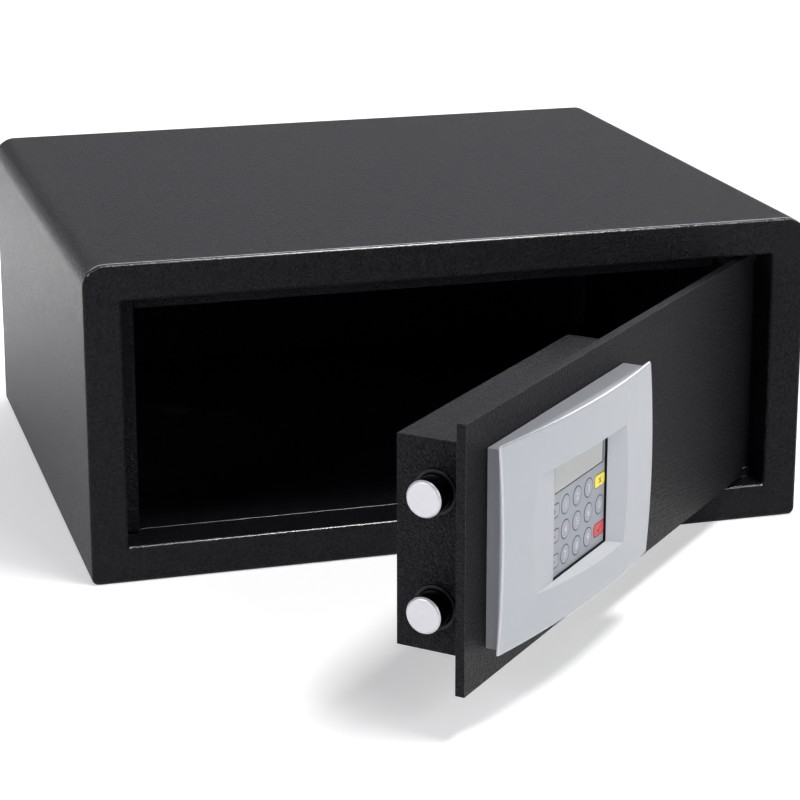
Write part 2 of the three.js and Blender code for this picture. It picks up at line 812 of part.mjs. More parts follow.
function makeFasciaBase() {
  const place = [fasciaLeft + baseInset, fasciaRight - baseInset];
  const z = [fasciaLow + baseInset, fasciaHigh - baseInset];
  const wedge = bentBlock(place, z, () => turnGap, (s, up) => rimBackAt(s, up) - turnGap, 14, 8);
  const pocket = doorBlock(
    [place[0] + baseWall, place[1] - baseWall],
    [turnGap + baseFloor, wellTop],
    [z[0] + baseWall, z[1] - baseWall],
  );
  const through = [-cutOver, wellTop];
  const lockHole = doorRod(barrelRadius + turnGap, through, lockPlace, middle);
  const cableHole = doorRod(cableHoleRadius, through, cablePlace, cableHeight);
  const ledge = doorBlock([place[0] + baseWall, place[1] - baseWall], [turnGap, turnGap + baseFloor], z);
  return cut(wedge.subtract(pocket).add(ledge), [lockHole, cableHole]);
}

// Keypad

const keyColumn = (column) => windowLeft + keyMarginLeft + column * keyPitchAcross;
const keyRow = (row) => windowLow + lowRow + (2 - row) * keyPitchUp;
const keyBottom = panelTop - panelThick - turnGap;
const boardTop = keyBottom - keyLipThick - keyTravel - 2 * turnGap;
const displayLow = windowHigh - displayHeight;

const keypad = [
  { name: 'function_key_top', column: 0, row: 0, form: 'wide', look: 'keyLight' },
  { name: 'function_key_middle', column: 0, row: 1, form: 'wide', look: 'keyLight' },
  { name: 'function_key_bottom', column: 0, row: 2, form: 'wide', look: 'keyLight' },
  ...[1, 2, 3, 4, 5, 6, 7, 8, 9].map((n) => ({
    name: `key_${n}`,
    column: 1 + (n - 1) % 3,
    row: Math.floor((n - 1) / 3),
    form: 'round',
    look: 'keyLight',
  })),
  { name: 'key_yellow', column: 4, row: 0, form: 'wide', look: 'yellow' },
  { name: 'key_0', column: 4, row: 1, form: 'round', look: 'keyLight' },
  { name: 'key_red', column: 4, row: 2, form: 'wide', look: 'red' },
];

// The plan of a key grown by a margin, as a solid between two heights
function keyPlan(key, grow, height) {
  const s = keyColumn(key.column);
  const z = keyRow(key.row);
  if (key.form === 'round') return doorRod(keyRadius + grow, height, s, z, 20);
  const width = wideKeyWidth / 2 + grow;
  const tall = wideKeyHeight / 2 + grow;
  return doorBlock([s - width, s + width], height, [z - tall, z + tall]);
}

function makeKey(key) {
  const cap = keyPlan(key, 0, [keyBottom - keyLipThick / 2, panelTop + keyProud]);
  const lip = keyPlan(key, keyLip, [keyBottom - keyLipThick, keyBottom]);
  const span = [boardTop + keyTravel + turnGap, keyBottom - keyLipThick / 2];
  const stem = doorRod(keyStemRadius, span, keyColumn(key.column), keyRow(key.row), 8);
  return join([cap, lip, stem]);
}

function makePanel() {
  const plate = doorBlock(
    [windowLeft - panelLap, windowRight + panelLap],
    [panelTop - panelThick, panelTop],
    [windowLow - panelLap, windowHigh + panelLap],
  );
  const posts = [];
  for (const s of [windowLeft - panelLap + postRadius, windowRight + panelLap - postRadius]) {
    for (const z of [windowLow - panelLap + postRadius, windowHigh + panelLap - postRadius]) {
      posts.push(doorRod(postRadius, [boardTop + turnGap, panelTop - panelThick / 2], s, z, 8));
    }
  }
  const through = [panelTop - panelThick - cutOver, panelTop + cutOver];
  const holes = keypad.map((key) => keyPlan(key, keyGap, through));
  const view = doorBlock(
    [windowLeft + displayMargin, windowRight - displayMargin],
    through,
    [displayLow + displaySill, windowHigh - displaySill],
  );
  return cut(join([plate, ...posts]), [...holes, view]);
}

function makeDisplayWindow() {
  return doorBlock(
    [windowLeft + displayMargin + turnGap, windowRight - displayMargin - turnGap],
    [panelTop - displayThick, panelTop],
    [displayLow + displaySill + turnGap, windowHigh - displaySill - turnGap],
  );
}

function makeBoard() {
  return doorBlock(
    [windowLeft - boardMargin, windowRight + boardMargin],
    [boardTop - boardThick, boardTop],
    [windowLow - boardMargin, windowHigh + boardMargin],
  );
}

// Emergency lock

function makeBarrel() {
  const span = [outward(barrelFront), outward(-barrelBack)];
  return tube(barrelRadius, coreRadius + turnGap, span, 'y', [across(lockPlace), 0, middle]);
}

function makeCore() {
  const back = -barrelBack - turnGap - camThick;
  const core = doorRod(coreRadius, [back, barrelFront + coreProud], lockPlace, middle);
  const keyway = doorBlock(
    [lockPlace - keywayWidth / 2, lockPlace + keywayWidth / 2],
    [barrelFront - keywayDepth, barrelFront + cutOver],
    [middle - keywayHeight / 2, middle + keywayHeight / 2],
  );
  return core.subtract(keyway);
}

function makeCam() {
  const height = [-barrelBack - turnGap - camThick, -barrelBack - turnGap];
  const hub = doorRod(camWidth / 2, height, lockPlace, middle);
  const side = [lockPlace - camWidth / 2, lockPlace + camWidth / 2];
  const lever = doorBlock(side, height, [middle - camReach, middle]);
  const bore = doorRod(coreRadius + turnGap, [height[0] - cutOver, height[1] + cutOver], lockPlace, middle);
  return join([hub, lever]).subtract(bore);
}

// Cable from the board through the plate to the motor

function makeCable() {
  const canEnd = pinionPlace + gearboxLength / 2 + motorLength;
  const motorMiddle = gearboxFront - gearboxDepth / 2;
  const route = [
    [cablePlace, boardTop - boardThick - turnGap, cableHeight],
    [cablePlace, plateBack / 2, cableHeight],
    [cablePlace, plateBack - 4, cableHeight],
    [cablePlace + 9, plateBack - 5, cableHeight + 2],
    [canEnd + 6, motorMiddle, cableHeight + 10],
    [canEnd + 5, motorMiddle, pinionHeight - 1],
    [canEnd + turnGap, motorMiddle, pinionHeight],
  ].map(([s, height, z]) => new THREE.Vector3(across(s), outward(height), z));
  const circle = new THREE.EllipseCurve(0, 0, cableRadius, cableRadius);
  const section = new THREE.Shape(circle.getPoints(8).slice(0, 8));
  const curve = new THREE.CatmullRomCurve3(route, false, 'centripetal');
  return solidOf(new THREE.ExtrudeGeometry(section, { steps: 18, extrudePath: curve, bevelEnabled: false }));
}

// Assembly

const caseGroup = new THREE.Group();
caseGroup.add(
  named('case_shell', makeShell(), 'paint'),
  named('front_frame', makeFrontFrame(), 'paint'),
  named('back_panel', makeBackPanel(), 'paint'),
  named('door_stop_left', makeLeftStop(), 'paint'),
  named('door_stop_top', makeTopStop(), 'paint'),
  named('raised_floor', makeRaisedFloor(), 'paint'),
  named('floor_plug_left', makeFloorPlug(-1), 'blackPlastic'),
  named('floor_plug_right', makeFloorPlug(1), 'blackPlastic'),
  named('hinge_washer', makeWasher(), 'blackPlastic'),
);

const door = new THREE.Group();
door.position.set(pivotX, pivotY, 0);
door.rotation.z = THREE.MathUtils.degToRad(openAngle);
door.add(
  named('door_plate', makePlate(), 'paint'),
  named('hinge_tab_bottom', makeHingeTab(-1), 'paint'),
  named('hinge_tab_top', makeHingeTab(1), 'paint'),
  named('hinge_pin_bottom', makeHingePin(-1), 'steel'),
  named('hinge_pin_top', makeHingePin(1), 'steel'),
  named('lock_housing', makeHousing(), 'paint'),
  named('housing_stud_front', makeStud(studPlaces[0]), 'steel'),
  named('housing_stud_rear', makeStud(studPlaces[1]), 'steel'),
  named('housing_screw_front', makeScrew(studPlaces[0]), 'steel'),
  named('housing_screw_rear', makeScrew(studPlaces[1]), 'steel'),
  named('bolt_lower', makeBolt(boltHeights[0]), 'chrome'),
  named('bolt_upper', makeBolt(boltHeights[1]), 'chrome'),
  named('bolt_bush_lower', makeBush(boltHeights[0]), 'blackPlastic'),
  named('bolt_bush_upper', makeBush(boltHeights[1]), 'blackPlastic'),
  named('bolt_carrier', makeCarrier(), 'steel'),
  named('drive_pinion', makePinion(), 'brass'),
  named('gear_motor', makeMotor(), 'steel'),
  named('rack_guide', makeGuide(), 'nylon'),
  named('battery_tray', makeTray(), 'blackPlastic'),
  named('battery_1', makeBattery(0, 0), 'battery'),
  named('battery_2', makeBattery(1, 0), 'battery'),
  named('battery_3', makeBattery(0, 1), 'battery'),
  named('battery_4', makeBattery(1, 1), 'battery'),
  named('battery_cover', makeBatteryCover(), 'blackPlastic'),
  named('reset_switch', makeResetSwitch(), 'blackPlastic'),
  named('reset_button', makeResetButton(), 'red'),
  named('fascia_base', makeFasciaBase(), 'silverPlastic'),
  named('fascia_cap', makeCap(), 'silverPlastic'),
  named('key_cover', makeKeyCover(), 'silverPlastic'),
  named('keypad_panel', makePanel(), 'keypadGrey'),
  named('display_window', makeDisplayWindow(), 'display'),
  named('circuit_board', makeBoard(), 'board'),
  named('lock_barrel', makeBarrel(), 'brass'),
  named('lock_core', makeCore(), 'brass'),
  named('lock_cam', makeCam(), 'steel'),
  named('motor_cable', makeCable(), 'blackPlastic'),
);
for (const key of keypad) door.add(named(key.name, makeKey(key), key.look));

const group = new THREE.Group();
group.add(caseGroup, door);

export default group;
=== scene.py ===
import json
import math

import bmesh
import bpy
import numpy as np
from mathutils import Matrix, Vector

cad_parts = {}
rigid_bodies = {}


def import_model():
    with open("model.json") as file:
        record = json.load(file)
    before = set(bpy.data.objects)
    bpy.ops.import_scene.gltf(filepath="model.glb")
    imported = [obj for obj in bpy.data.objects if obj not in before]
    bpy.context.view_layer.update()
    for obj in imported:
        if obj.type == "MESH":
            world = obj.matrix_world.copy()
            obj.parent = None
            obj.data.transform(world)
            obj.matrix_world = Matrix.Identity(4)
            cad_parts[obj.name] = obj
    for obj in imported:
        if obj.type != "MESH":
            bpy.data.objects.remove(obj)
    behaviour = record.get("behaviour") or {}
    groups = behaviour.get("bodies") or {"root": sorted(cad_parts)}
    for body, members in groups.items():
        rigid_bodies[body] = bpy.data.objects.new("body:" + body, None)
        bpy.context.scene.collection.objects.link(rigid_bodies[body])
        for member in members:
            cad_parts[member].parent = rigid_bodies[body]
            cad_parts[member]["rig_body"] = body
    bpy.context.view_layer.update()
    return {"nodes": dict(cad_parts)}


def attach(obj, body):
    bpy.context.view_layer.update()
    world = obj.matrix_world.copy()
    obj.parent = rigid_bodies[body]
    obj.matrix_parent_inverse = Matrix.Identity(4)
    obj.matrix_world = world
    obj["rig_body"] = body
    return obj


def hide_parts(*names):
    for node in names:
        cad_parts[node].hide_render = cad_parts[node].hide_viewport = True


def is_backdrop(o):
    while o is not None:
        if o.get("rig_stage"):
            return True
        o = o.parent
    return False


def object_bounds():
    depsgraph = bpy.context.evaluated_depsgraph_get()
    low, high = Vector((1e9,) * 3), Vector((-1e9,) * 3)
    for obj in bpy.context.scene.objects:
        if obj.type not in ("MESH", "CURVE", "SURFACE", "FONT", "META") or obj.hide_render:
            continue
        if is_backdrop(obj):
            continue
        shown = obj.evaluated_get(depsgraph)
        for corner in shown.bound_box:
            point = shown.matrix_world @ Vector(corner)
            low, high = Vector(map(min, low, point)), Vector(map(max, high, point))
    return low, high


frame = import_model()
scene = bpy.context.scene
nodes = frame["nodes"]
mm = 0.001
print("frame loaded:", len(nodes), "nodes")


# Shader helpers

def linear(code):
    # an sRGB hex value to linear light
    c = np.array([int(code[i:i + 2], 16) for i in (1, 3, 5)]) / 255
    return (*np.where(c <= 0.04045, c / 12.92, ((c + 0.055) / 1.055) ** 2.4).tolist(), 1.0)


def add(tree, kind, settings=None, feeds=None):
    # a node of that kind, with its settings, and its inputs set or linked
    node = tree.nodes.new(kind)
    for key, value in (settings or {}).items():
        setattr(node, key, value)
    for key, value in (feeds or {}).items():
        if isinstance(value, bpy.types.NodeSocket):
            tree.links.new(value, node.inputs[key])
        else:
            node.inputs[key].default_value = value
    return node


# Camera, backdrop and lights

# places in metres, angles in degrees, lens and sensor in mm; the shift is a share of the frame's width
view = {"place": (-0.418, -1.506, 0.524), "bearing": 16.16, "tilt": 15.49, "lens": 112.5, "sensor": 36.0,
        "shift": -0.1}
studio = {
    "world": 0.03,                # light from all round
    "backdrop": 0.9,              # what is seen beyond the table
    "softboxes": {                # m and W, a tint if not white, a spread if not 180 degrees
        "overhead": {"place": (0.38, -0.6, 1.55), "aim": (0.0, -0.2, 0.1), "size": (0.5, 0.35),
                     "power": 15.5},
        "front": {"place": (0.7, -2.0, 0.9), "aim": (0.05, -0.3, 0.1), "size": (0.9, 0.9), "power": 15.5},
        "left": {"place": (-1.6, -0.9, 0.7), "aim": (-0.1, -0.4, 0.1), "size": (0.8, 0.8), "power": 18.0,
                 "tint": (1.01, 1.0, 1.05)},
        "rear": {"place": (0.8, 3.0, 1.7), "aim": (0.8, 2.6, 0.0), "size": (5.0, 2.4), "power": 110.0,
                 "tint": (1.01, 1.0, 1.07)},
        "edge": {"place": (1.9, 0.7, 1.2), "aim": (0.1, -0.4, 0.1), "size": (0.7, 0.7), "power": 7.5},
        "glow": {"place": (-1.0, 0.9, 1.2), "aim": (-0.42, 0.7, 0.0), "size": (0.25, 0.25), "power": 2.7,
                 "spread": 40},
    },
}

cameraData = bpy.data.cameras.new("photoCamera")
cameraData.lens = view["lens"]
cameraData.sensor_width = view["sensor"]
cameraData.shift_y = view["shift"]
camera = bpy.data.objects.new("photoCamera", cameraData)
camera.location = view["place"]
camera.rotation_euler = (math.radians(90 - view["tilt"]), 0, math.radians(-view["bearing"]))
scene.collection.objects.link(camera)
scene.camera = camera
scene.view_settings.view_transform = "Standard"

# the camera sees a pale backdrop, which lights the table only a little
world = bpy.data.worlds.new("studioWorld")
world.use_nodes = True
backdrop = world.node_tree.nodes["Background"]
backdrop.inputs["Color"].default_value = (1, 1, 1, 1)
seen = add(world.node_tree, "ShaderNodeLightPath").outputs["Is Camera Ray"]
strength = add(world.node_tree, "ShaderNodeMapRange", {}, {
    "Value": seen, "To Min": studio["world"], "To Max": studio["backdrop"]}).outputs["Result"]
world.node_tree.links.new(strength, backdrop.inputs["Strength"])
scene.world = world

for name, box in studio["softboxes"].items():
    light = bpy.data.lights.new(name + "Softbox", "AREA")
    light.shape = "RECTANGLE"
    light.size, light.size_y = box["size"]
    light.energy = box["power"]
    light.color = box.get("tint", (1, 1, 1))
    light.spread = math.radians(box.get("spread", 180))
    lamp = bpy.data.objects.new(name + "Softbox", light)
    lamp.location = box["place"]
    lamp.rotation_euler = (Vector(box["aim"]) - Vector(box["place"])).to_track_quat("-Z", "Y").to_euler()
    scene.collection.objects.link(lamp)
print("camera and lights set")


# Materials

grainReach = (0.3, 0.7)        # most of a noise's values lie between these
crestShadeReach = (0.36, 0.64)      # narrower, so that the paint is painted lighter on its crests and darker in its hollows: painted light and shade


def principled(name, sockets):
    # a material with its constant values on the shader's own sockets, and the piece's own coordinates
    material = bpy.data.materials.new(name)
    material.use_nodes = True
    tree = material.node_tree
    shader = tree.nodes["Principled BSDF"]
    for key, value in sockets.items():
        shader.inputs[key].default_value = value
    return material, tree, shader, add(tree, "ShaderNodeTexCoord").outputs["Object"]


def dress(tree, shader, tones, blend, roughness, grain, height, under=None):
    # one pattern blends the two tones; another gives gloss and a relief of that height in mm, which lies on
    # the relief under it
    tone = add(tree, "ShaderNodeMix", {"data_type": "RGBA"}, {
        0: blend, 6: linear(tones[0]), 7: linear(tones[1])}).outputs[2]
    gloss = add(tree, "ShaderNodeMapRange", {}, {
        "Value": grain, "From Min": grainReach[0], "From Max": grainReach[1],
        "To Min": roughness[0], "To Max": roughness[1]}).outputs["Result"]
    relief = add(tree, "ShaderNodeBump", {}, {"Height": grain, "Distance": height * mm})
    if under is not None:
        tree.links.new(under, relief.inputs["Normal"])
    for socket, source in (("Base Color", tone), ("Roughness", gloss), ("Normal", relief.outputs["Normal"])):
        tree.links.new(source, shader.inputs[socket])


paintLook = {     # widths and heights in mm
    "flat": {"tones": ("#030204", "#1b191f"), "roughness": (0.28, 0.42), "level": 0.13, "coat": 0.0,
             "wrinkle": 1.5, "wrinkleHeight": 2.4, "skin": 0.7, "skinHeight": 0.06},
    # the fold look is lighter and glossier than the paint really is: a painted highlight
    "fold": {"tones": ("#0f0e11", "#1c1b1f"), "roughness": (0.15, 0.26), "level": 1.0, "coat": 1.0,
             "wrinkle": 1.3, "wrinkleHeight": 0.4, "skin": 0.7, "skinHeight": 0.08},
}


def powderCoat(name, look):
    # Black wrinkle powder coat, sprayed and baked: fine leathery lumps break up every highlight. Real
    # wrinkles are about 1 mm wide and far lower: here they are as coarse as they need to be to show
    material, tree, shader, place = principled(name, {
        "Specular IOR Level": look["level"], "Coat Weight": look["coat"], "Coat Roughness": 0.12})
    wrinkle = add(tree, "ShaderNodeTexNoise", {}, {
        "Vector": place, "Scale": 1000 / look["wrinkle"], "Detail": 3.0, "Distortion": 0.9}).outputs["Fac"]
    skin = add(tree, "ShaderNodeTexNoise", {}, {
        "Vector": place, "Scale": 1000 / look["skin"], "Detail": 1.0}).outputs["Fac"]
    # the colour follows the wrinkles: painted shade in the hollows and painted light on the crests
    wrinkleShade = add(tree, "ShaderNodeMapRange", {}, {
        "Value": wrinkle, "From Min": crestShadeReach[0], "From Max": crestShadeReach[1]}).outputs["Result"]
    lumps = add(tree, "ShaderNodeBump", {}, {
        "Height": wrinkle, "Distance": look["wrinkleHeight"] * mm}).outputs["Normal"]
    dress(tree, shader, look["tones"], wrinkleShade, look["roughness"], skin, look["skinHeight"], lumps)
    return material


def finish(name, tones, roughness, grain, sockets=None, drift=9.0, detail=2.0):
    # A moulded, printed or plated skin: close tones that drift over so many mm, and a fine grain, given by
    # its width and height in mm, that varies the gloss
    material, tree, shader, place = principled(name, sockets or {})
    blend, fine = (
        add(tree, "ShaderNodeTexNoise", {}, {
            "Vector": place, "Scale": 1000 / width, "Detail": detail}).outputs["Fac"]
        for width in (drift, grain[0]))
    dress(tree, shader, tones, blend, roughness, fine, grain[1])
    return material


turnedLook = {"ridge": 0.35, "height": 0.004}     # mm


def turnedSteel(name, tones, roughness, metallic):
    # Steel turned on a lathe: fine rings round the axis, read from the piece's own map of radius and length
    # in mm. Real ridges are about 0.1 mm apart: here they are as coarse as they need to be to show
    material, tree, shader, _ = principled(name, {"Metallic": metallic})
    places = add(tree, "ShaderNodeUVMap", {"uv_map": "turning"}).outputs["UV"]
    split = add(tree, "ShaderNodeSeparateXYZ", {}, {"Vector": places})
    total = add(tree, "ShaderNodeMath", {"operation": "ADD"}, {0: split.outputs["X"], 1: split.outputs["Y"]})
    rings = add(tree, "ShaderNodeTexNoise", {"noise_dimensions": "1D"}, {
        "W": total.outputs[0], "Scale": 1 / turnedLook["ridge"], "Detail": 3.0}).outputs["Fac"]
    dress(tree, shader, tones, rings, roughness, rings, turnedLook["height"])
    return material


boardLook = {"pitch": 1.5625, "row": 0.25, "line": 0.04}     # pitch in mm, row and line in the texture's unit


def solderMask():
    # Green solder mask over copper tracks: glossy lacquer, paler where it lies on the copper
    material, tree, shader, place = principled("solderMask", {"Roughness": 0.35})
    tracks = add(tree, "ShaderNodeTexBrick", {}, {
        "Vector": place, "Scale": 1000 * boardLook["row"] / boardLook["pitch"],
        "Color1": linear("#1d6b3c"), "Color2": linear("#185c33"), "Mortar": linear("#2b8a50"),
        "Mortar Size": boardLook["line"]})
    tree.links.new(tracks.outputs["Color"], shader.inputs["Base Color"])
    return material


paint = powderCoat("wrinklePowderCoat", paintLook["flat"])
paintHighlightCopy = powderCoat("powderCoatPaintedHighlight", paintLook["fold"])     # a lighter, glossier copy of the paint for edges that face the overhead lamp: a painted highlight line

# Silver lacquer sprayed over moulded ABS: a soft sheen; a lighter, glossier copy on the rounded edges paints
# a bright highlight line there
silver = finish("silverLacqueredAbs", ("#a3a6ac", "#a8abb1"), (0.34, 0.44), (0.35, 0.003), drift=30.0,
                sockets={"Metallic": 0.2, "Coat Weight": 0.25, "Coat Roughness": 0.15})
silverHighlightCopy = finish("silverLacquerPaintedHighlight", ("#b4b7bc", "#babdc2"), (0.14, 0.2), (0.35, 0.001), drift=30.0,
                    sockets={"Metallic": 0.2, "Coat Weight": 1.0, "Coat Roughness": 0.08})

# Moulded plastics, dull from the eroded mould; the bushes are smoother and catch a small soft light
blackPlastic = finish("mouldedBlackAbs", ("#101012", "#19191b"), (0.45, 0.6), (0.6, 0.01))
bushPlastic = finish("blackNylonBush", ("#08080a", "#0e0e11"), (0.3, 0.42), (0.6, 0.004),
                     {"Specular IOR Level": 0.25})
nylon = finish("naturalNylon", ("#dedace", "#e8e5da"), (0.5, 0.65), (0.6, 0.01))

# Printed polyester film with a faint orange peel: satin, never glossy
film = finish("printedKeypadFilm", ("#8b8f98", "#91959e"), (0.42, 0.5), (0.4, 0.006))
keyFilm = finish("lightKeyFilm", ("#91929c", "#9798a2"), (0.4, 0.48), (0.4, 0.006))
yellowFilm = finish("yellowKeyFilm", ("#ecd832", "#f2e046"), (0.38, 0.46), (0.4, 0.006))
redFilm = finish("redKeyFilm", ("#c4363b", "#cf4247"), (0.38, 0.46), (0.4, 0.006))

# Screen-printed inks, flat and matt beside the film
ringInk = finish("darkRingInk", ("#2e3139", "#363942"), (0.4, 0.5), (0.4, 0.004))
yellowEdge = finish("yellowKeyEdge", ("#6a6120", "#766c25"), (0.4, 0.5), (0.4, 0.004))
redEdge = finish("redKeyEdge", ("#561a1d", "#621f22"), (0.4, 0.5), (0.4, 0.004))
paleInk = finish("paleNumeralInk", ("#c8cad0", "#d0d2d8"), (0.4, 0.5), (0.4, 0.004))
darkInk = finish("darkMarkInk", ("#2b2a24", "#35342d"), (0.45, 0.55), (0.4, 0.004))

# A dead-black lining, painted shade on the window's walls; shrunk sleeve on the batteries, glossy; acrylic
# pane over the grey display, glassy
windowShadeLining = finish("blackPaintedShadeLining", ("#08080a", "#0e0e10"), (0.7, 0.85), (0.3, 0.02),
                {"Specular IOR Level": 0.2})
wrap = finish("batteryShrinkWrap", ("#34427f", "#42519a"), (0.25, 0.35), (0.6, 0.006))
lens = finish("displayGlass", ("#8c908c", "#929692"), (0.12, 0.16), (0.4, 0.001), drift=14.0,
              sockets={"Coat Weight": 0.5, "Coat Roughness": 0.05})

# Metals: cloudy plated zinc, warm turned brass, and the bolts' bright ends; the bolts' sides are painted
# dark, a painted reflection of the dark surroundings in their polished steel
metal = {"sockets": {"Metallic": 1.0}, "drift": 6.0, "detail": 3.0}
zinc = finish("zincPlatedSteel", ("#a9aaad", "#c3c4c7"), (0.28, 0.42), (0.8, 0.006), **metal)
brass = finish("turnedBrass", ("#ab8c46", "#c3a75f"), (0.26, 0.4), (0.8, 0.006), **metal)
boltFace = turnedSteel("facedSteel", ("#b8b7bc", "#cbcace"), (0.3, 0.42), 0.5)
boltSideDarkReflection = turnedSteel("steelPaintedDarkReflection", ("#141317", "#1f1e23"), (0.16, 0.26), 0.9)
board = solderMask()
print("materials made")


# Mesh helpers

merging = {"own": 1e-7, "cad": 2e-6, "flat": 0.6}     # distances in m, angle in degrees
shading = {"sharp": 38, "bevelSteps": 3}              # degrees between faces that stay sharp


def meshOf(name, points, faces, materials=(), looks=None):
    # points in metres; faces of any length; looks gives each face its material. Doubles are merged, and then
    # all faces are turned outwards
    mesh = bpy.data.meshes.new(name)
    mesh.from_pydata(np.asarray(points, float).reshape(-1, 3).tolist(), [], [list(f) for f in faces])
    if looks is not None:
        mesh.polygons.foreach_set("material_index", np.asarray(looks, np.int32))
    for material in materials:
        mesh.materials.append(material)
    shape = bmesh.new()
    shape.from_mesh(mesh)
    bmesh.ops.remove_doubles(shape, verts=shape.verts, dist=merging["own"])
    bmesh.ops.recalc_face_normals(shape, faces=shape.faces)
    shape.to_mesh(mesh)
    shape.free()
    return mesh


def placePiece(name, mesh, body, replaced, sharp=shading["sharp"], rounding=0):
    # a mesh as a piece on a body, its edges rounded by so many mm, and its large faces shaded flat
    mesh.polygons.foreach_set("use_smooth", np.ones(len(mesh.polygons), bool))
    mesh.set_sharp_from_angle(angle=math.radians(sharp))
    piece = bpy.data.objects.new(name, mesh)
    scene.collection.objects.link(piece)
    if rounding:
        edges = piece.modifiers.new("roundedEdges", "BEVEL")
        edges.width = rounding * mm
        edges.segments = shading["bevelSteps"]
        edges.limit_method = "ANGLE"
        edges.angle_limit = math.radians(sharp)
        edges.use_clamp_overlap = True
        # rounded edges take a piece's second material, where it has one: the paint's painted highlight copy
        if len(mesh.materials) > 1:
            edges.material = 1
    flatter = piece.modifiers.new("flatFaces", "WEIGHTED_NORMAL")
    flatter.keep_sharp = True
    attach(piece, body)
    if replaced:
        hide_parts(*replaced)


def softened(name, node, radius, materials):
    # the CAD piece's own shape, its triangles merged into flat faces, with its edges rounded
    mesh = nodes[node].data.copy()
    mesh.name = name
    mesh.materials.clear()
    for material in materials:
        mesh.materials.append(material)
    shape = bmesh.new()
    shape.from_mesh(mesh)
    bmesh.ops.remove_doubles(shape, verts=shape.verts, dist=merging["cad"])
    bmesh.ops.dissolve_limit(shape, angle_limit=math.radians(merging["flat"]), verts=shape.verts,
                             edges=shape.edges)
    for layer in list(shape.faces.layers.int):
        shape.faces.layers.int.remove(layer)
    shape.to_mesh(mesh)
    shape.free()
    mesh.polygons.foreach_set("material_index", np.zeros(len(mesh.polygons), np.int32))
    placePiece(name, mesh, nodes[node]["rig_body"], (node,), rounding=radius)


def gridFaces(rows, columns, closeRows=False, closeColumns=False):
    # quads of a grid of points in row-major order
    i = np.arange(rows if closeRows else rows - 1)[:, None]
    j = np.arange(columns if closeColumns else columns - 1)[None, :]
    nextI, nextJ = (i + 1) % rows, (j + 1) % columns
    return np.stack([i * columns + j, i * columns + nextJ, nextI * columns + nextJ, nextI * columns + j],
                    -1).reshape(-1, 4)


def stackFaces(rings, count, base=0):
    # sides and both ends of a stack of closed rings, whose points start at base
    last = base + (rings - 1) * count
    ends = [list(range(base, base + count)), list(range(last, last + count))]
    return (gridFaces(rings, count, closeColumns=True) + base).tolist() + ends


def quarter(steps):
    # angles through a quarter turn
    return np.radians(np.linspace(0, 90, steps + 1))


def roundedOutline(x, z, low, high, arc):
    # a rectangle whose corners are quarter circles, with other radii at the bottom and the top
    t = quarter(arc)
    corners = [(x[1] - low, z[0] + low, low, -90), (x[1] - high, z[1] - high, high, 0),
               (x[0] + high, z[1] - high, high, 90), (x[0] + low, z[0] + low, low, 180)]
    return np.concatenate([
        np.stack([cx + r * np.cos(t + math.radians(a)), cz + r * np.sin(t + math.radians(a))], -1)
        for cx, cz, r, a in corners])


def rods(radius, places, axis, span, steps=48):
    # closed cylinders along X, Y or Z through the given places, as one set of points and faces
    t = np.linspace(0, 2 * np.pi, steps, endpoint=False)
    others = [k for k in range(3) if k != axis]
    points, faces = [], []
    for place in places:
        faces += stackFaces(2, steps, len(points) * steps)
        for end in span:
            ring = np.zeros((steps, 3))
            ring[:, axis] = end
            ring[:, others[0]] = place[0] + radius * np.cos(t)
            ring[:, others[1]] = place[1] + radius * np.sin(t)
            points.append(ring)
    return np.concatenate(points) * mm, faces


def drilled(solid, cutters, materials):
    # a closed mesh with closed cutters taken out of it; both are given as points and faces
    made = [bpy.data.objects.new(name, meshOf(name, *parts))
            for name, parts in (("stock", solid), ("tool", cutters))]
    for thing in made:
        scene.collection.objects.link(thing)
    stock, tool = made
    cutting = stock.modifiers.new("cut", "BOOLEAN")
    cutting.operation = "DIFFERENCE"
    cutting.solver = "EXACT"
    cutting.object = tool
    graph = bpy.context.evaluated_depsgraph_get()
    mesh = bpy.data.meshes.new_from_object(stock.evaluated_get(graph))
    for thing in made:
        bpy.data.meshes.remove(thing.data)
    for material in materials:
        mesh.materials.append(material)
    return mesh


# Case

# sizes in mm and angles in degrees, here and in the pieces below
case = {"width": 433.0, "depth": 370.0, "height": 187.0, "topBend": 13.0, "bottomBend": 4.0, "leastBend": 0.2,
        "sheet": 2.0, "edge": 2.2, "border": 21.5, "corner": 1.5, "lip": 1.8, "reveal": 28.0, "burr": 0.4,
        "seam": 0.2, "panelEdge": 1.2, "floorHoles": (120.0, 60.0), "wallHoles": (130.0, 110.0), "hole": 6.0,
        "floorDrill": (-5, 6), "wallDrill": (-6, 3), "arc": 10, "foldSteps": 7, "panelSteps": 5}
litFoldMask = {"past": 0.1, "least": 0.05, "most": 0.995, "up": 0.45}     # mm, then parts of the normal
caseFront, caseBack = -case["depth"] / 2, case["depth"] / 2


def ringAt(flat, y):
    # an outline in X and Z as points at one depth
    return np.stack([flat[:, 0], np.full(len(flat), y), flat[:, 1]], -1)


def caseRing(inset, y):
    # the case's outline, inset all round: the bends' radii shrink as much
    half = case["width"] / 2 - inset
    bends = [max(case[bend] - inset, case["leastBend"]) for bend in ("bottomBend", "topBend")]
    return ringAt(roundedOutline((-half, half), (inset, case["height"] - inset), *bends, case["arc"]), y)


def openingRing(grow, y):
    # the door opening's outline, grown all round
    half = case["width"] / 2 - case["border"] + grow
    low, high = case["border"] - grow, case["height"] - case["border"] + grow
    corner = case["corner"] + grow
    return ringAt(roundedOutline((-half, half), (low, high), corner, corner, case["arc"]), y)


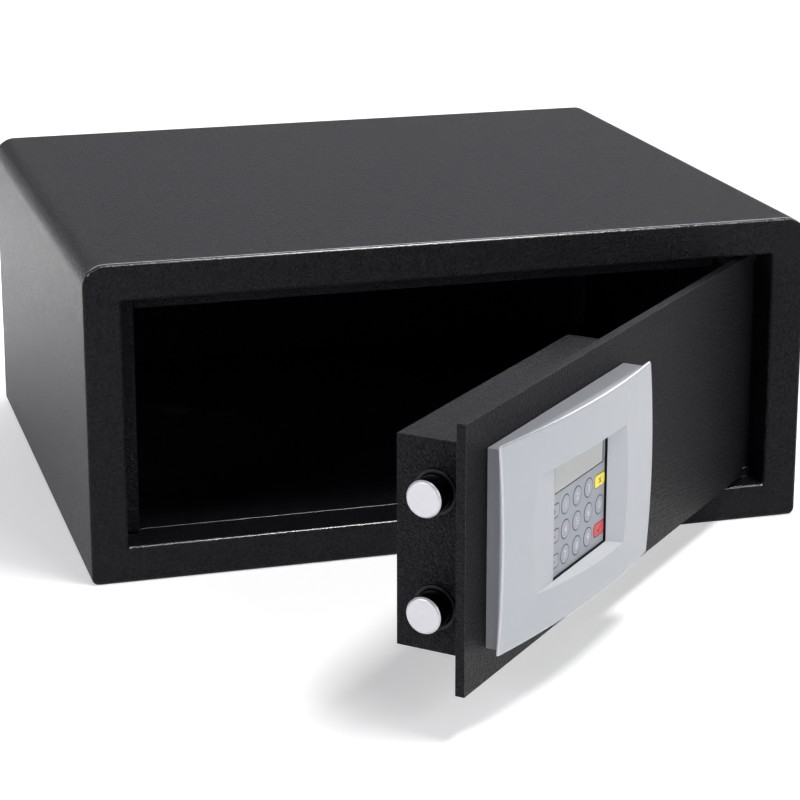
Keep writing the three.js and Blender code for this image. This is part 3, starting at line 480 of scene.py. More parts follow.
def caseRings():
    # one closed skin: round the front edge, over the face, round into the opening, back along the return,
    # and out again along its far side and the inside of the wrap; each fold is a quarter circle
    sheet, edge, lip, burr = case["sheet"], case["edge"], case["lip"], case["burr"]
    folds = quarter(case["foldSteps"])
    rings = [caseRing(edge * (1 - math.cos(a)), caseFront + edge * (1 - math.sin(a))) for a in folds]
    rings += [openingRing(lip * (1 - math.sin(a)), caseFront + lip * (1 - math.cos(a))) for a in folds]
    end = caseFront + case["reveal"]
    rings += [openingRing(0, end - burr), openingRing(burr, end), openingRing(sheet, end)]
    rings += [openingRing(sheet, caseFront + sheet), caseRing(sheet, caseFront + sheet)]
    rear = caseBack - sheet - case["seam"]
    rings += [caseRing(sheet, rear), caseRing(burr, rear), caseRing(0, rear - burr)]
    return np.stack(rings)


def pairOfHoles(kind, axis, span):
    # a hole on either side of the middle
    x, other = case[kind]
    return rods(case["hole"], [(-x, other), (x, other)], axis, span)


rings = caseRings()
skin = (rings * mm, gridFaces(len(rings), rings.shape[1], True, True))
caseMesh = drilled(skin, pairOfHoles("floorHoles", 2, case["floorDrill"]), [paint, paintHighlightCopy])

# a painted highlight line: the lighter, glossier copy of the paint lies on the folds at the front that face
# up
middles, normals = (np.zeros(3 * len(caseMesh.polygons)) for _ in range(2))
caseMesh.polygons.foreach_get("center", middles)
caseMesh.polygons.foreach_get("normal", normals)
forward = np.abs(normals[1::3])
litFolds = middles[1::3] < (caseFront + case["edge"] + litFoldMask["past"]) * mm
litFolds &= (forward > litFoldMask["least"]) & (forward < litFoldMask["most"]) & (normals[2::3] > litFoldMask["up"])
caseMesh.polygons.foreach_set("material_index", litFolds.astype(np.int32))
placePiece("caseBody", caseMesh, "safe_case", ("case_shell", "front_frame"))

# the back panel's outer edge is a quarter circle
panelRings = np.stack([caseRing(0, caseBack - case["sheet"])] + [
    caseRing(case["panelEdge"] * (1 - math.cos(a)), caseBack - case["panelEdge"] * (1 - math.sin(a)))
    for a in quarter(case["panelSteps"])])
panelMesh = drilled((panelRings * mm, stackFaces(*panelRings.shape[:2])),
                    pairOfHoles("wallHoles", 1, [caseBack + end for end in case["wallDrill"]]), [paint])
placePiece("backPanel", panelMesh, "safe_case", ("back_panel",))

# the floor's edges take the glossier copy, a painted highlight; the stops' edges stay plain
softened("raisedFloor", "raised_floor", 0.5, [paint, paintHighlightCopy])
softened("stopLeft", "door_stop_left", 0.7, [paint])
softened("stopTop", "door_stop_top", 0.7, [paint])
print("case made")


# Door

door = {"pivot": (188.0, -167.5), "turn": 45.5, "reach": 380.5, "front": 2.5}
doorCos, doorSin = math.cos(math.radians(door["turn"])), math.sin(math.radians(door["turn"]))


def onDoor(place, out, up):
    # place runs from the free edge to the hinge, out from the front face, up from the ground, in mm: a turn
    # about the hinge's pin brings them to the open door
    x = np.asarray(place, float) - door["reach"]
    y = -door["front"] - np.asarray(out, float)
    return np.stack(np.broadcast_arrays(door["pivot"][0] + doorCos * x - doorSin * y,
                                        door["pivot"][1] + doorSin * x + doorCos * y,
                                        np.asarray(up, float)), -1) * mm


# the plate's and the lower tab's edges take the painted highlight copy; the top tab and the housing stay
# plain
softened("doorPlate", "door_plate", 0.7, [paint, paintHighlightCopy])
softened("hingeTabBottom", "hinge_tab_bottom", 0.5, [paint, paintHighlightCopy])
softened("hingeTabTop", "hinge_tab_top", 0.5, [paint])
softened("lockHousing", "lock_housing", 0.9, [paint])


# Bolts and their bushes

bolt = {"radius": 9.55, "length": 58.0, "chamfer": 1.0, "round": 0.25, "mark": 1.0, "markDepth": 0.2,
        "out": -22.9, "heights": {"lower": 62.15, "upper": 121.85}}
bush = {"inner": 9.85, "sleeve": 11.15, "flange": 11.8, "face": 13.2, "thick": 1.1, "round": 0.35,
        "length": 9.0}
turning = {"steps": 64, "sharp": 30}


def turnedPiece(name, node, body, profile, height, materials, looks=None):
    # a profile of radius r and place along the door, turned round a line parallel to the door:
    # out = axis + r cos t, up = height + r sin t. The map called turning holds radius and length in mm
    r, along = np.asarray(profile, float).T[:, :, None]
    t = np.linspace(0, 2 * np.pi, turning["steps"], endpoint=False)
    points = onDoor(along, bolt["out"] + r * np.cos(t), height + r * np.sin(t))
    faces = gridFaces(len(profile), turning["steps"], closeColumns=True)
    perFace = None if looks is None else np.repeat(looks, turning["steps"])
    mesh = meshOf(name, points, faces, materials, perFace)
    placePiece(name, mesh, body, (node,), turning["sharp"])
    spots = np.zeros(len(mesh.vertices) * 3)
    mesh.vertices.foreach_get("co", spots)
    x, y, z = spots.reshape(-1, 3).T / mm
    x, y = x - door["pivot"][0], y - door["pivot"][1]
    r = np.hypot(y * doorCos - x * doorSin + door["front"] + bolt["out"], z - height)
    along = x * doorCos + y * doorSin
    corners = np.zeros(len(mesh.loops), np.int32)
    mesh.loops.foreach_get("vertex_index", corners)
    places = mesh.uv_layers.new(name="turning")
    places.data.foreach_set("uv", np.stack([r[corners], along[corners]], -1).ravel())


def boltProfile():
    # the centre's dimple, the faced end, the chamfer with its corners broken by tenths of a mm, and the side
    r, c, e, length = bolt["radius"], bolt["chamfer"], bolt["round"], bolt["length"]
    m, d = bolt["mark"], bolt["markDepth"]
    dimple = [(0, d), (m * 0.55, d * 0.45), (m, d * 0.15), (m * 1.15, 0)]
    end = [(r - c - e, 0), (r - c, 0.08), (r - c * 0.7, c * 0.3), (r - 0.15, c - 0.2)]
    side = [(r, c + 0.12), (r, c + 3), (r, length / 2), (r, length), (0, length)]
    return dimple + end + side, [0] * len(dimple + end) + [1] * (len(side) - 1)


def bushProfile():
    # a closed ring: the bore, the flange with both its rims rounded, and the sleeve
    inner, flange, sleeve, e = bush["inner"], bush["flange"], bush["sleeve"], bush["round"]
    front, back = bush["face"] - bush["thick"], bush["face"] + bush["length"]
    rim = [(inner + e * (1 - math.cos(a)), front + e * (1 - math.sin(a))) for a in quarter(3)]
    rim += [(flange - e * (1 - math.sin(a)), front + e * (1 - math.cos(a))) for a in quarter(3)]
    sides = [(flange, bush["face"]), (sleeve, bush["face"]), (sleeve, back), (inner, back)]
    return [(inner, back), *rim, *sides]


for end, height in bolt["heights"].items():
    profile, looks = boltProfile()
    turnedPiece("bolt" + end.title(), "bolt_" + end, "bolts", profile, height,
                [boltFace, boltSideDarkReflection], looks)
    turnedPiece("bush" + end.title(), "bolt_bush_" + end, "door", bushProfile(), height,
                [bushPlastic])
print("door, housing and bolts made")


# Fascia

fascia = {"left": 20.1, "right": 188.1, "low": 39.5, "high": 147.5, "rimLeft": 8.2, "rimRight": 15.2,
          "rimThick": 1.1, "backAcross": 2.4, "backUp": 1.3, "across": 5.5, "up": 2.2, "edge": 0.9,
          "wall": 1.8, "seam": 152.5, "seamGap": 0.12, "seamEdge": 0.2, "sharp": 14}
window = {"left": 69.5, "right": 134.6, "low": 63.1, "high": 124.3, "level": 14.3, "facetReach": 27.0,
          "depth": 10.0, "spread": 28.1, "rise": 9.0, "seat": 13.4, "leastWall": 0.15, "seatLeft": 6.0,
          "seatRight": 14.0, "seatUp": 6.0, "strip": 0.03}
# the moulding's grid: three places in mm, then how many steps its parts have, and the passes of substitution
grid = {"facet": 40.0, "foot": 6.0, "bendEnd": 148.0, "steps": 14, "edge": 9, "across": (24, 34, 76, 6),
        "up": (18, 60, 24), "cover": (34, 90), "passesBelow": 40, "passes": 60}
fasciaMiddle = (fascia["low"] + fascia["high"]) / 2
tiny = 1e-6


def crowned(s, z, across, up):
    # the rim's straight slope plus a parabola across and a parabola up
    share = (s - fascia["left"]) / (fascia["right"] - fascia["left"])
    end = (z - fasciaMiddle) / ((fascia["high"] - fascia["low"]) / 2)
    rim = fascia["rimLeft"] + (fascia["rimRight"] - fascia["rimLeft"]) * share
    return rim + across * (1 - (2 * share - 1) ** 2) + up * (1 - end ** 2)


def domeAt(s, z):
    # the moulding's front, as high as its two parabolas
    return crowned(s, z, fascia["across"], fascia["up"])


def rimBackAt(s, z):
    # the rim's back edge, on flatter parabolas and a rim's thickness behind
    return crowned(s, z, fascia["backAcross"], fascia["backUp"]) - fascia["rimThick"]


def surfaceAt(s, z):
    # the dome, cut down to a level facet and to the slopes that rise from the window to its right and below
    right = (s - window["right"]) * window["depth"] / window["spread"]
    below = (window["low"] - z) * window["depth"] / window["rise"]
    well = window["level"] + np.maximum(np.maximum(right, below), 0)
    cut = (s >= window["left"] - window["facetReach"]) & (z <= window["high"] + tiny)
    return np.where(cut, np.minimum(domeAt(s, z), well), domeAt(s, z))


def creaseBelow(s):
    # how far below the window the lower slope meets the dome, by repeated substitution from a guess
    offset = np.full_like(s, 2.0)
    for _ in range(grid["passesBelow"]):
        rise = domeAt(s, window["low"] - offset) - window["level"]
        offset = np.clip(rise * window["rise"] / window["depth"], window["strip"], None)
    return offset


def creaseRight(z):
    # where the right slope meets the dome, by repeated substitution, halfway each time
    s = np.full_like(z, grid["bendEnd"])
    for _ in range(grid["passes"]):
        rise = domeAt(s, z) - window["level"]
        s = 0.5 * s + 0.5 * (window["right"] + rise * window["spread"] / window["depth"])
    return s


def hipAt(rise):
    # where the two slopes meet, that high above the window's level
    return (window["right"] + rise * window["spread"] / window["depth"],
            window["low"] - rise * window["rise"] / window["depth"])


def hipRise():
    # how high the hip is where it meets the dome, by the same substitution from a guess
    rise = 5.0
    for _ in range(grid["passes"]):
        rise = 0.5 * rise + 0.5 * (domeAt(*hipAt(rise)) - window["level"])
    return rise


def gridLines(low, high, edges, stops, last):
    # lines from one rounded edge to the other, through stops given as (place, steps) and then in so many
    # last steps; on the edges they stand closer together, at r - r sin of even angles
    turn = 1 - np.sin(quarter(grid["edge"])[::-1])[:-1]
    first, final = edges[0] * turn, edges[1] * turn
    lines, place = [low + first], low + edges[0]
    for stop, steps in [*stops, (high - edges[1], last)]:
        lines.append(np.linspace(place, stop, steps + 1)[:-1])
        place = stop
    return np.concatenate([*lines, [place], (high - final)[::-1]])


def blockLoop(i0, i1, j0, j1, columns):
    # the grid's points round a block of its cells, in order
    a, b = np.arange(i0, i1 + 1), np.arange(j0, j1 + 1)
    return np.concatenate([a * columns + j0, i1 * columns + b[1:], a[::-1][1:] * columns + j1,
                           i0 * columns + b[::-1][1:-1]])


def band(first, second):
    # quads between two closed lines of points
    return np.stack([first, np.roll(first, -1), np.roll(second, -1), second], -1)


def roundedOver(s, z, rounded):
    # where the outer skin's points go near its edges, how far they drop, and which are turned: along an edge
    # the drop is a quarter circle, r - r sqrt(1 - x^2), and in a corner x is the length of both parts
    r = fascia["edge"]
    fromLeft, fromRight, fromLow, fromHigh = s - s[0, 0], s[-1, 0] - s, z - z[0, 0], z[0, -1] - z
    radius = np.where(fromLeft < fromRight, rounded[0], rounded[1])
    a = np.clip(1 - np.minimum(fromLeft, fromRight) / radius, 0, 1)
    b = np.clip(1 - np.minimum(fromLow, fromHigh) / r, 0, 1)
    roundA, roundB = a * np.sqrt(1 - b * b / 2), b * np.sqrt(1 - a * a / 2)
    corner = roundB > 1e-9
    x = np.minimum(np.where(corner, np.hypot(roundA, roundB), roundA), 1)
    drop = np.where(corner, r, radius) * (1 - np.sqrt(1 - x ** 2))
    outS = s + np.where(fromLeft < fromRight, 1, -1) * radius * (a - roundA)
    outZ = z + np.where(fromLow < fromHigh, 1, -1) * r * (b - roundB)
    return outS, outZ, drop, (a > 0) | (b > 0)


def innerSkin(s, z, height):
    # a wall behind the outer skin and a wall in from its edges, but level round the window for the panel
    wall = fascia["wall"]
    lowS, highS, lowZ, highZ = s[0, 0], s[-1, 0], z[0, 0], z[0, -1]
    inS = lowS + wall + (s - lowS) * (highS - lowS - 2 * wall) / (highS - lowS)
    inZ = lowZ + wall + (z - lowZ) * (highZ - lowZ - 2 * wall) / (highZ - lowZ)
    near = ((s > window["left"] - window["seatLeft"]) & (s < window["right"] + window["seatRight"])
            & (z > window["low"] - window["seatUp"]) & (z < window["high"] + window["seatUp"]))
    inS, inZ = np.where(near, s, inS), np.where(near, z, inZ)
    seat = np.minimum(window["seat"], height - window["leastWall"])
    return inS, inZ, np.where(near, seat, surfaceAt(inS, inZ) - wall)


def shell(name, node, body, s, z, rounded, hole=None, hips=()):
    # a moulded shell over grids of places: an outer and an inner skin, joined by a rim round the edge and a
    # wall round the hole; rounded gives the radius of the left and right edge, hips the cells cut in two
    height = surfaceAt(s, z)
    outS, outZ, drop, turned = roundedOver(s, z, rounded)
    inS, inZ, inner = innerSkin(s, z, height)
    rows, columns = s.shape
    total = rows * columns
    cells = gridFaces(rows, columns)
    kept = np.ones(len(cells), bool) if hole is None else ~hole.reshape(-1)
    kept[list(hips)] = False
    skin = cells[kept]
    around = blockLoop(0, rows - 1, 0, columns - 1, columns)
    rims = [onDoor(a.ravel()[around], rimBackAt(a, b).ravel()[around], b.ravel()[around])
            for a, b in ((outS, outZ), (inS, inZ))]
    points = np.concatenate([onDoor(outS, height - drop, outZ).reshape(-1, 3),
                             onDoor(inS, inner, inZ).reshape(-1, 3), *rims])
    rimOut = 2 * total + np.arange(len(around))
    rimIn = rimOut + len(around)
    quads = [skin, skin[:, ::-1] + total]
    quads += [band(around, rimOut), band(rimOut, rimIn), band(rimIn, around + total)]
    if hole is not None:
        i, j = np.where(hole)
        brink = blockLoop(i.min(), i.max() + 1, j.min(), j.max() + 1, columns)
        quads.append(band(brink, brink + total))
    faces = np.concatenate(quads).tolist()
    split = cells[list(hips)].reshape(-1, 4)
    for half in ([0, 1, 3], [1, 2, 3]):
        faces += split[:, half].tolist() + (split[:, half[::-1]] + total).tolist()
    looks = np.zeros(len(faces), int)
    # the rounded faces of the outer skin take the lighter silver copy: a painted highlight
    looks[:len(skin)] = turned.ravel()[skin].all(1)
    mesh = meshOf(name, points, faces, [silver, silverHighlightCopy], looks)
    placePiece(name, mesh, body, (node,), fascia["sharp"])


def capGrid():
    # lines of the grid lie on every crease: the columns bend to follow the right one, the rows the lower one,
    # and in the corner between them one diagonal of the grid is the hip where the two slopes meet
    steps, foot, bendEnd = grid["steps"], window["low"] - grid["foot"], grid["bendEnd"]
    right, low, high = window["right"], window["low"], window["high"]
    seam = fascia["seam"] - fascia["seamGap"] / 2
    across, up = grid["across"], grid["up"]
    stops = [(grid["facet"], across[0]), (window["left"], across[1]), (right, across[2]), (bendEnd, steps)]
    sLines = gridLines(fascia["left"], seam, (fascia["edge"], fascia["seamEdge"]), stops, across[3])
    stops = [(foot, up[0]), (low, steps), (high, up[1]), (high + window["strip"], 1)]
    zLines = gridLines(fascia["low"], fascia["high"], (fascia["edge"], fascia["edge"]), stops, up[2])
    s, z = np.meshgrid(sLines, zLines, indexing="ij")
    rise = hipRise()
    corner = hipAt(rise)
    i0 = int(np.argmin(np.abs(sLines - right)))
    k0 = int(np.argmin(np.abs(zLines - low)))
    columns, block = slice(i0, i0 + steps + 1), slice(k0 - steps, k0 + 1)

    # the columns right of the window spread out to the right crease
    bend = creaseRight(np.clip(z[0], corner[1], high))
    bend[:k0] = corner[0]
    s[columns] = right + np.linspace(0, 1, steps + 1)[:, None] * (bend - right)

    # the rows below the window spread out to the lower crease, and the ones below them share what is left
    offset = creaseBelow(np.clip(s[:, 0], None, corner[0]))[:, None]
    lowest = fascia["low"] + fascia["edge"]
    z[:, block] = low - np.linspace(1, 0, steps + 1) * offset
    under = (zLines < foot - tiny) & (zLines > lowest - tiny)
    share = (foot - zLines[under]) / (foot - lowest)
    z[:, under] = low - offset - share * (low - lowest - offset)

    # the corner block: above the hip its points run down to it, below it they run on to the lower crease
    i, j = np.arange(steps + 1)[:, None], np.arange(steps + 1)[None, :]
    hipS, hipZ = hipAt(i / steps * rise)
    topS = right + i / steps * (bend[k0] - right)
    belowZ = low - creaseBelow(hipS)
    toHip, pastHip = np.clip(j / np.maximum(i, 1), 0, 1), np.clip((j - i) / np.maximum(steps - i, 1), 0, 1)
    above, below = low + toHip * (hipZ - low), hipZ + pastHip * (belowZ - hipZ)
    s[columns, block] = np.where(j <= i, topS + toHip * (hipS - topS), hipS)[:, ::-1]
    z[columns, block] = np.where(j <= i, above, below)[:, ::-1]

    # the last columns go evenly from the crease to the seam
    past = sLines > bendEnd + tiny
    s[past] = seam - (seam - sLines[past])[:, None] / (seam - bendEnd) * (seam - s[i0 + steps])
    hips = [(i0 + n) * (len(zLines) - 1) + k0 - n - 1 for n in range(steps)]
    return s, z, sLines, zLines, hips


s, z, sLines, zLines, hips = capGrid()
cellS = (sLines[:-1] + sLines[1:])[:, None] / 2
cellZ = (zLines[:-1] + zLines[1:])[None, :] / 2
inWindow = (cellS > window["left"]) & (cellS < window["right"])
inWindow = inWindow & (cellZ > window["low"]) & (cellZ < window["high"])
shell("fasciaCap", "fascia_cap", "door", s, z, (fascia["edge"], fascia["seamEdge"]), inWindow, hips)

coverStart = fascia["seam"] + fascia["seamGap"] / 2
coverS = gridLines(coverStart, fascia["right"], (fascia["seamEdge"], fascia["edge"]), [], grid["cover"][0])
coverZ = gridLines(fascia["low"], fascia["high"], (fascia["edge"], fascia["edge"]), [], grid["cover"][1])
s, z = np.meshgrid(coverS, coverZ, indexing="ij")
shell("keyCover", "key_cover", "loose_key_cover", s, z, (fascia["seamEdge"], fascia["edge"]))
softened("fasciaBase", "fascia_base", 0.4, [silver])
print("fascia made")


# Keys

keypad = {"top": 13.0, "thick": 1.5, "lap": 5.0, "pitch": (14.0, 13.4), "first": 2.5, "lowRow": 8.9,
          "radius": 5.2, "wide": (13.0, 7.4), "corner": 2.2, "arc": 12, "gap": 0.15, "proud": 0.1,
          "crown": 0.1, "step": 0.02, "ring": 0.5, "edge": 0.06, "below": 1.6, "ink": 0.03, "numeral": 5.4,
          "sharp": 40}
keyColumn = [window["left"] + keypad["first"] + c * keypad["pitch"][0] for c in range(5)]
keyRow = [window["low"] + keypad["lowRow"] + (2 - r) * keypad["pitch"][1] for r in range(3)]


def keyOutline(form, grow):
    # a circle, or a rectangle with round corners, about the key's centre
    if form == "round":
        t = np.linspace(0, 2 * np.pi, 4 * (keypad["arc"] + 1), endpoint=False)
        return (keypad["radius"] + grow) * np.stack([np.cos(t), np.sin(t)], -1)
    w, h = keypad[form][0] / 2 + grow, keypad[form][1] / 2 + grow
    corner = keypad["corner"] + grow
    return roundedOutline((-w, w), (-h, h), corner, corner, keypad["arc"])


def numeral(text):
    # a digit as flat triangles about its own centre
    curve = bpy.data.curves.new("ink", "FONT")
    curve.body = text
    curve.size = keypad["numeral"]
    curve.resolution_u = 6
    letter = bpy.data.objects.new("ink", curve)
    scene.collection.objects.link(letter)
    graph = bpy.context.evaluated_depsgraph_get()
    mesh = bpy.data.meshes.new_from_object(letter.evaluated_get(graph))
    flat = np.zeros(len(mesh.vertices) * 3)
    mesh.vertices.foreach_get("co", flat)
    flat = flat.reshape(-1, 3)[:, :2]
    faces = [list(p.vertices) for p in mesh.polygons]
    bpy.data.objects.remove(letter)
    bpy.data.curves.remove(curve)
    bpy.data.meshes.remove(mesh)
    return flat - (flat.max(0) + flat.min(0)) / 2, faces


def strokes(lines, width):
    # straight bars between pairs of points
    flat, faces = [], []
    for (x0, y0), (x1, y1) in lines:
        dx, dy = x1 - x0, y1 - y0
        size = math.hypot(dx, dy)
        nx, ny = -dy / size * width / 2, dx / size * width / 2
        base = len(flat)
        flat += [(x0 - nx, y0 - ny), (x1 - nx, y1 - ny), (x1 + nx, y1 + ny), (x0 + nx, y0 + ny)]
        faces.append([base, base + 1, base + 2, base + 3])
    return np.array(flat), faces


def slab(flat, faces, low, high):
    # flat faces given a thickness: both sides, and walls along the edges that only one face has
    n = len(flat)
    edges = {(a, b) for face in faces for a, b in zip(face, face[1:] + face[:1])}
    walls = [[a, b, b + n, a + n] for a, b in sorted(edges) if (b, a) not in edges]
    points = np.concatenate([np.column_stack([flat, np.full(n, level)]) for level in (low, high)])
    return points, [f[::-1] for f in faces] + [[v + n for v in f] for f in faces] + walls


def makeKey(name, node, column, row, form, mark, inks):
    # rings of the key's outline, shrunk towards its centre over a low crown, 1 - share^2, with a dark printed
    # band round the edge; inks are those of the key, the band and the mark
    top, edge, step, crown = keypad["top"] + keypad["proud"], keypad["edge"], keypad["step"], keypad["crown"]
    insets = (0, 0, edge * 0.3, edge, keypad["ring"], keypad["ring"] + step)
    levels = [keypad["top"] - keypad["below"], top - edge, top - edge * 0.3, top, top + step, top + step]
    rings = [keyOutline(form, -inset) for inset in insets]
    for share in (0.75, 0.5, 0.25):
        rings.append(rings[5] * share)
        levels.append(top + step + crown * (1 - share ** 2))
    count = len(rings[0])
    flat = np.column_stack([np.concatenate(rings), np.repeat(levels, count)])
    faces = stackFaces(len(rings), count)
    looks = [0] * count * 2 + [1] * count * 3 + [0] * (len(faces) - 5 * count)
    ink, inkFaces = slab(*mark, top + crown * 0.6, top + step + crown + keypad["ink"])
    faces += [[v + len(flat) for v in f] for f in inkFaces]
    looks += [2] * len(inkFaces)
    flat = np.concatenate([flat, ink])
    points = onDoor(keyColumn[column] + flat[:, 0], flat[:, 2], keyRow[row] + flat[:, 1])
    mesh = meshOf(name, points, faces, inks, looks)
    placePiece(name, mesh, node + "_body", (node,), keypad["sharp"])


# signs of the other keys: bars between points in mm from the key's centre, and their width
signs = {
    "top": ([((-1.5, 0), (1.5, 0)), ((0, -1.5), (0, 1.5))], 0.5),
    "middle": ([((-1.6, 0), (1.6, 0)), ((-1.6, 0), (-0.4, 1.1)), ((-1.6, 0), (-0.4, -1.1))], 0.5),
    "bottom": ([((-1.5, 0), (1.5, 0))], 0.5),
    "cross": ([((-1.5, -1.5), (1.5, 1.5)), ((-1.5, 1.5), (1.5, -1.5))], 0.6),
    "tick": ([((-1.9, 0.0), (-0.5, -1.5)), ((-0.65, -1.45), (2.0, 1.5))], 0.6),
}
for n in range(1, 10):
    makeKey(f"key{n}", f"key_{n}", 1 + (n - 1) % 3, (n - 1) // 3, "round", numeral(str(n)),
            [keyFilm, ringInk, paleInk])
makeKey("key0", "key_0", 4, 1, "round", numeral("0"), [keyFilm, ringInk, paleInk])
for row, place in enumerate(("top", "middle", "bottom")):
    makeKey("functionKey" + place.title(), "function_key_" + place, 0, row, "wide", strokes(*signs[place]),
            [keyFilm, ringInk, ringInk])
makeKey("keyYellow", "key_yellow", 4, 0, "wide", strokes(*signs["cross"]), [yellowFilm, yellowEdge, darkInk])
makeKey("keyRed", "key_red", 4, 2, "wide", strokes(*signs["tick"]), [redFilm, redEdge, darkInk])


# Keypad panel and display

display = {"height": 17.4, "margin": 3.0, "sill": 1.0, "corner": 0.4, "gap": 0.1, "thick": 1.1, "sunk": 0.1,
           "round": 0.15, "paneCorner": 0.3, "leastCorner": 0.02, "line": 0.35, "lineCorner": 0.6, "arc": 4}
shadeLining = {"outer": (0.3, 0.05, 0.05, 0.05), "inner": (-0.1, -0.5, -0.5, -0.1), "corner": 0.1, "arc": 2,
        "sunk": 0.1}     # mm outside the window's left, right, low and high side
panel = {"corner": 1.0, "arc": 4, "past": 1, "border": (-0.2, 0.05)}
paneAcross = (window["left"] + display["margin"], window["right"] - display["margin"])
paneUp = (window["high"] - display["height"] + display["sill"], window["high"] - display["sill"])


def windowOutline(grow, corner, arc):
    # the window's outline, grown to the left, right, low and high side
    return roundedOutline((window["left"] - grow[0], window["right"] + grow[1]),
                          (window["low"] - grow[2], window["high"] + grow[3]), corner, corner, arc)


def paneOutline(grow, corner):
    # the outline of the display's opening, grown all round
    return roundedOutline((paneAcross[0] - grow, paneAcross[1] + grow), (paneUp[0] - grow, paneUp[1] + grow),
                          corner, corner, display["arc"])


def prisms(outlines, levels):
    # closed walls over outlines on the door, between two levels, with both ends closed
    points, faces = [], []
    for outline in outlines:
        faces += stackFaces(2, len(outline), sum(map(len, points)))
        points += [onDoor(outline[:, 0], level, outline[:, 1]) for level in levels]
    return np.concatenate(points), faces


keyForms = [("wide", 0, r) for r in range(3)] + [("round", 1 + c, r) for c in range(3) for r in range(3)]
keyForms += [("wide", 4, 0), ("round", 4, 1), ("wide", 4, 2)]
openings = [keyOutline(form, keypad["gap"]) + (keyColumn[c], keyRow[r]) for form, c, r in keyForms]
openings.append(paneOutline(0, display["corner"]))
low, high = keypad["top"] - keypad["thick"], keypad["top"]
plate = prisms([windowOutline([keypad["lap"]] * 4, panel["corner"], panel["arc"])], (low, high))
panelMesh = drilled(plate, prisms(openings, (low - panel["past"], high + panel["past"])), [film])
placePiece("keypadPanel", panelMesh, "door", ("keypad_panel",))

# the display's pane: its outline, and a quarter circle round the front edge
shrink = [display["round"] * (1 - math.cos(a)) for a in quarter(3)]
front = high - display["sunk"]
levels = [high - display["thick"]] + [front - display["round"] * (1 - math.sin(a)) for a in quarter(3)]
rings = [paneOutline(-display["gap"] - d, max(display["paneCorner"] - d, display["leastCorner"]))
         for d in [0] + shrink]
points = np.concatenate([onDoor(ring[:, 0], level, ring[:, 1]) for ring, level in zip(rings, levels)])
paneMesh = meshOf("displayPane", points, stackFaces(len(rings), len(rings[0])), [lens])
placePiece("displayPane", paneMesh, "door", ("display_window",))


def frameOnDoor(name, outer, inner, levels, material, slot):
    # a frame with a square section between two outlines and two levels
    rings = [(outer, levels[0]), (outer, levels[1]), (inner, levels[1]), (inner, levels[0])]
    points = np.concatenate([onDoor(ring[:, 0], level, ring[:, 1]) for ring, level in rings])
    mesh = meshOf(name, points, gridFaces(4, len(outer), True, True), [material])
    placePiece(name, mesh, "door", ())


# thin printed border round the display, and a dead-black lining between the panel and the moulding: painted
# shade on the window's walls
borders = paneOutline(display["line"], display["lineCorner"]), paneOutline(0, display["corner"])
frameOnDoor("displayBorder", *borders, [high + end for end in panel["border"]], ringInk, "keypad_film")
borders = [windowOutline(shadeLining[side], shadeLining["corner"], shadeLining["arc"]) for side in ("outer", "inner")]
frameOnDoor("windowPaintedShade", *borders, (high - shadeLining["sunk"], window["level"] - shadeLining["sunk"]), windowShadeLining,
            "black_plastic")
print("keypad made")


# Small hardware

plug = {"stem": 5.7, "lead": 0.4, "below": 2.4, "flange": 9.0, "edge": 0.4, "thick": 1.2, "slope": 1.2,
        "dish": 0.3, "gap": 0.2, "steps": 48, "sharp": 30}


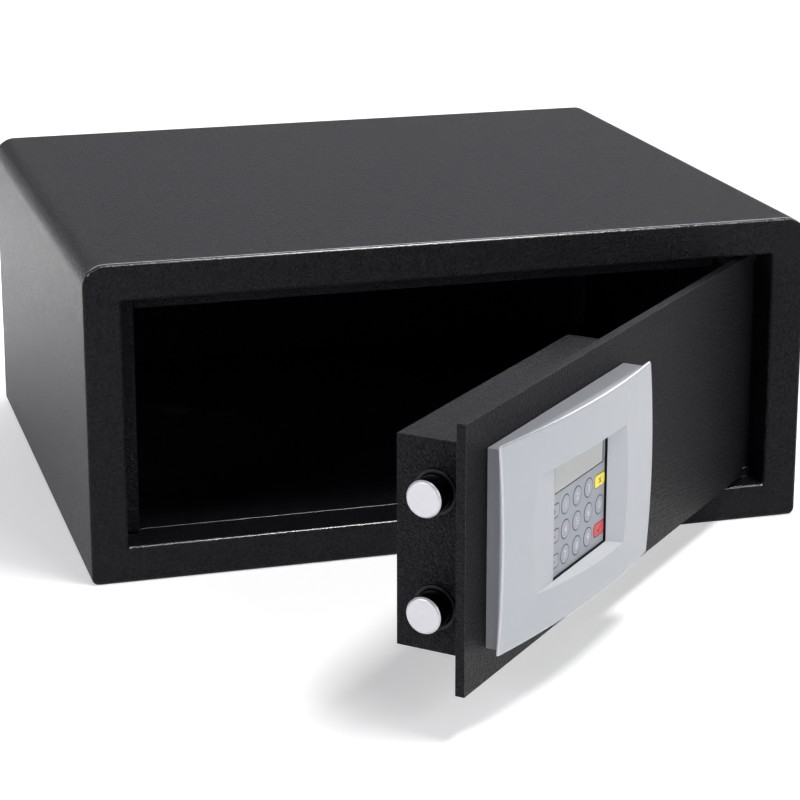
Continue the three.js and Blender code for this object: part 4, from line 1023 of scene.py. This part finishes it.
def floorPlug(side, end):
    # a profile of radius and height, turned about the hole's axis: a stem, a flange with a sloping edge, and
    # a shallow dish in its top
    r, rim, z = plug["stem"], plug["flange"], case["border"] + plug["gap"]
    top, bottom, lead = z + plug["thick"], z - plug["below"], plug["lead"]
    profile = np.array([(0, bottom), (r - lead, bottom), (r, bottom + lead), (r, z), (rim, z),
                        (rim, z + plug["edge"]), (rim - plug["dish"], z + 2 * plug["edge"]),
                        (rim - plug["slope"], top), (rim * 0.4, top), (rim * 0.35, top - plug["dish"]),
                        (0, top - plug["dish"])])
    t = np.linspace(0, 2 * np.pi, plug["steps"], endpoint=False)
    x = side * case["floorHoles"][0] + profile[:, :1] * np.cos(t)
    y = case["floorHoles"][1] + profile[:, :1] * np.sin(t)
    points = np.stack(np.broadcast_arrays(x, y, profile[:, 1:]), -1) * mm
    name = "floorPlug" + end.title()
    mesh = meshOf(name, points, gridFaces(len(profile), plug["steps"], closeColumns=True), [blackPlastic])
    placePiece(name, mesh, "safe_case", ("floor_plug_" + end,), plug["sharp"])


floorPlug(-1, "left")
floorPlug(1, "right")

softened("batteryCover", "battery_cover", 0.35, [blackPlastic])
softened("resetButton", "reset_button", 0.4, [redFilm])
softened("housingScrewFront", "housing_screw_front", 0.3, [zinc])
softened("housingScrewRear", "housing_screw_rear", 0.3, [zinc])
softened("lockBarrel", "lock_barrel", 0.3, [brass])
softened("lockCore", "lock_core", 0.15, [brass])

# CAD pieces whose shape is right get their material alone
carried = {
    "hinge_pin_bottom": zinc, "hinge_pin_top": zinc, "hinge_washer": blackPlastic, "housing_stud_front": zinc,
    "housing_stud_rear": zinc, "bolt_carrier": zinc, "drive_pinion": brass, "gear_motor": zinc,
    "rack_guide": nylon, "battery_tray": blackPlastic, "battery_1": wrap, "battery_2": wrap,
    "battery_3": wrap, "battery_4": wrap, "reset_switch": blackPlastic, "circuit_board": board,
    "lock_cam": zinc, "motor_cable": blackPlastic,
}
for node, material in carried.items():
    for place in nodes[node].material_slots:
        place.material = material
print("hardware made")


# Table

table = {"half": 8.0, "glow": 0.3}     # half its side in m; the light that its top gives

side = table["half"]
floorMesh = bpy.data.meshes.new("studioFloor")
corners = [(-side, -side, 0), (side, -side, 0), (side, side, 0), (-side, side, 0)]
floorMesh.from_pydata(corners, [], [(0, 1, 2, 3)])
# Opal acrylic lit from below: white and matt, with no edge to the light
floorMesh.materials.append(finish(
    "opalWhiteAcrylic", ("#f6f6f6", "#f8f8f8"), (0.85, 0.95), (2.0, 0.01), drift=60.0,
    sockets={"Specular IOR Level": 0.1, "Emission Color": (1, 1, 1, 1), "Emission Strength": table["glow"]}))
studioFloor = bpy.data.objects.new("studioFloor", floorMesh)
scene.collection.objects.link(studioFloor)
studioFloor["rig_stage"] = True

low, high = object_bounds()
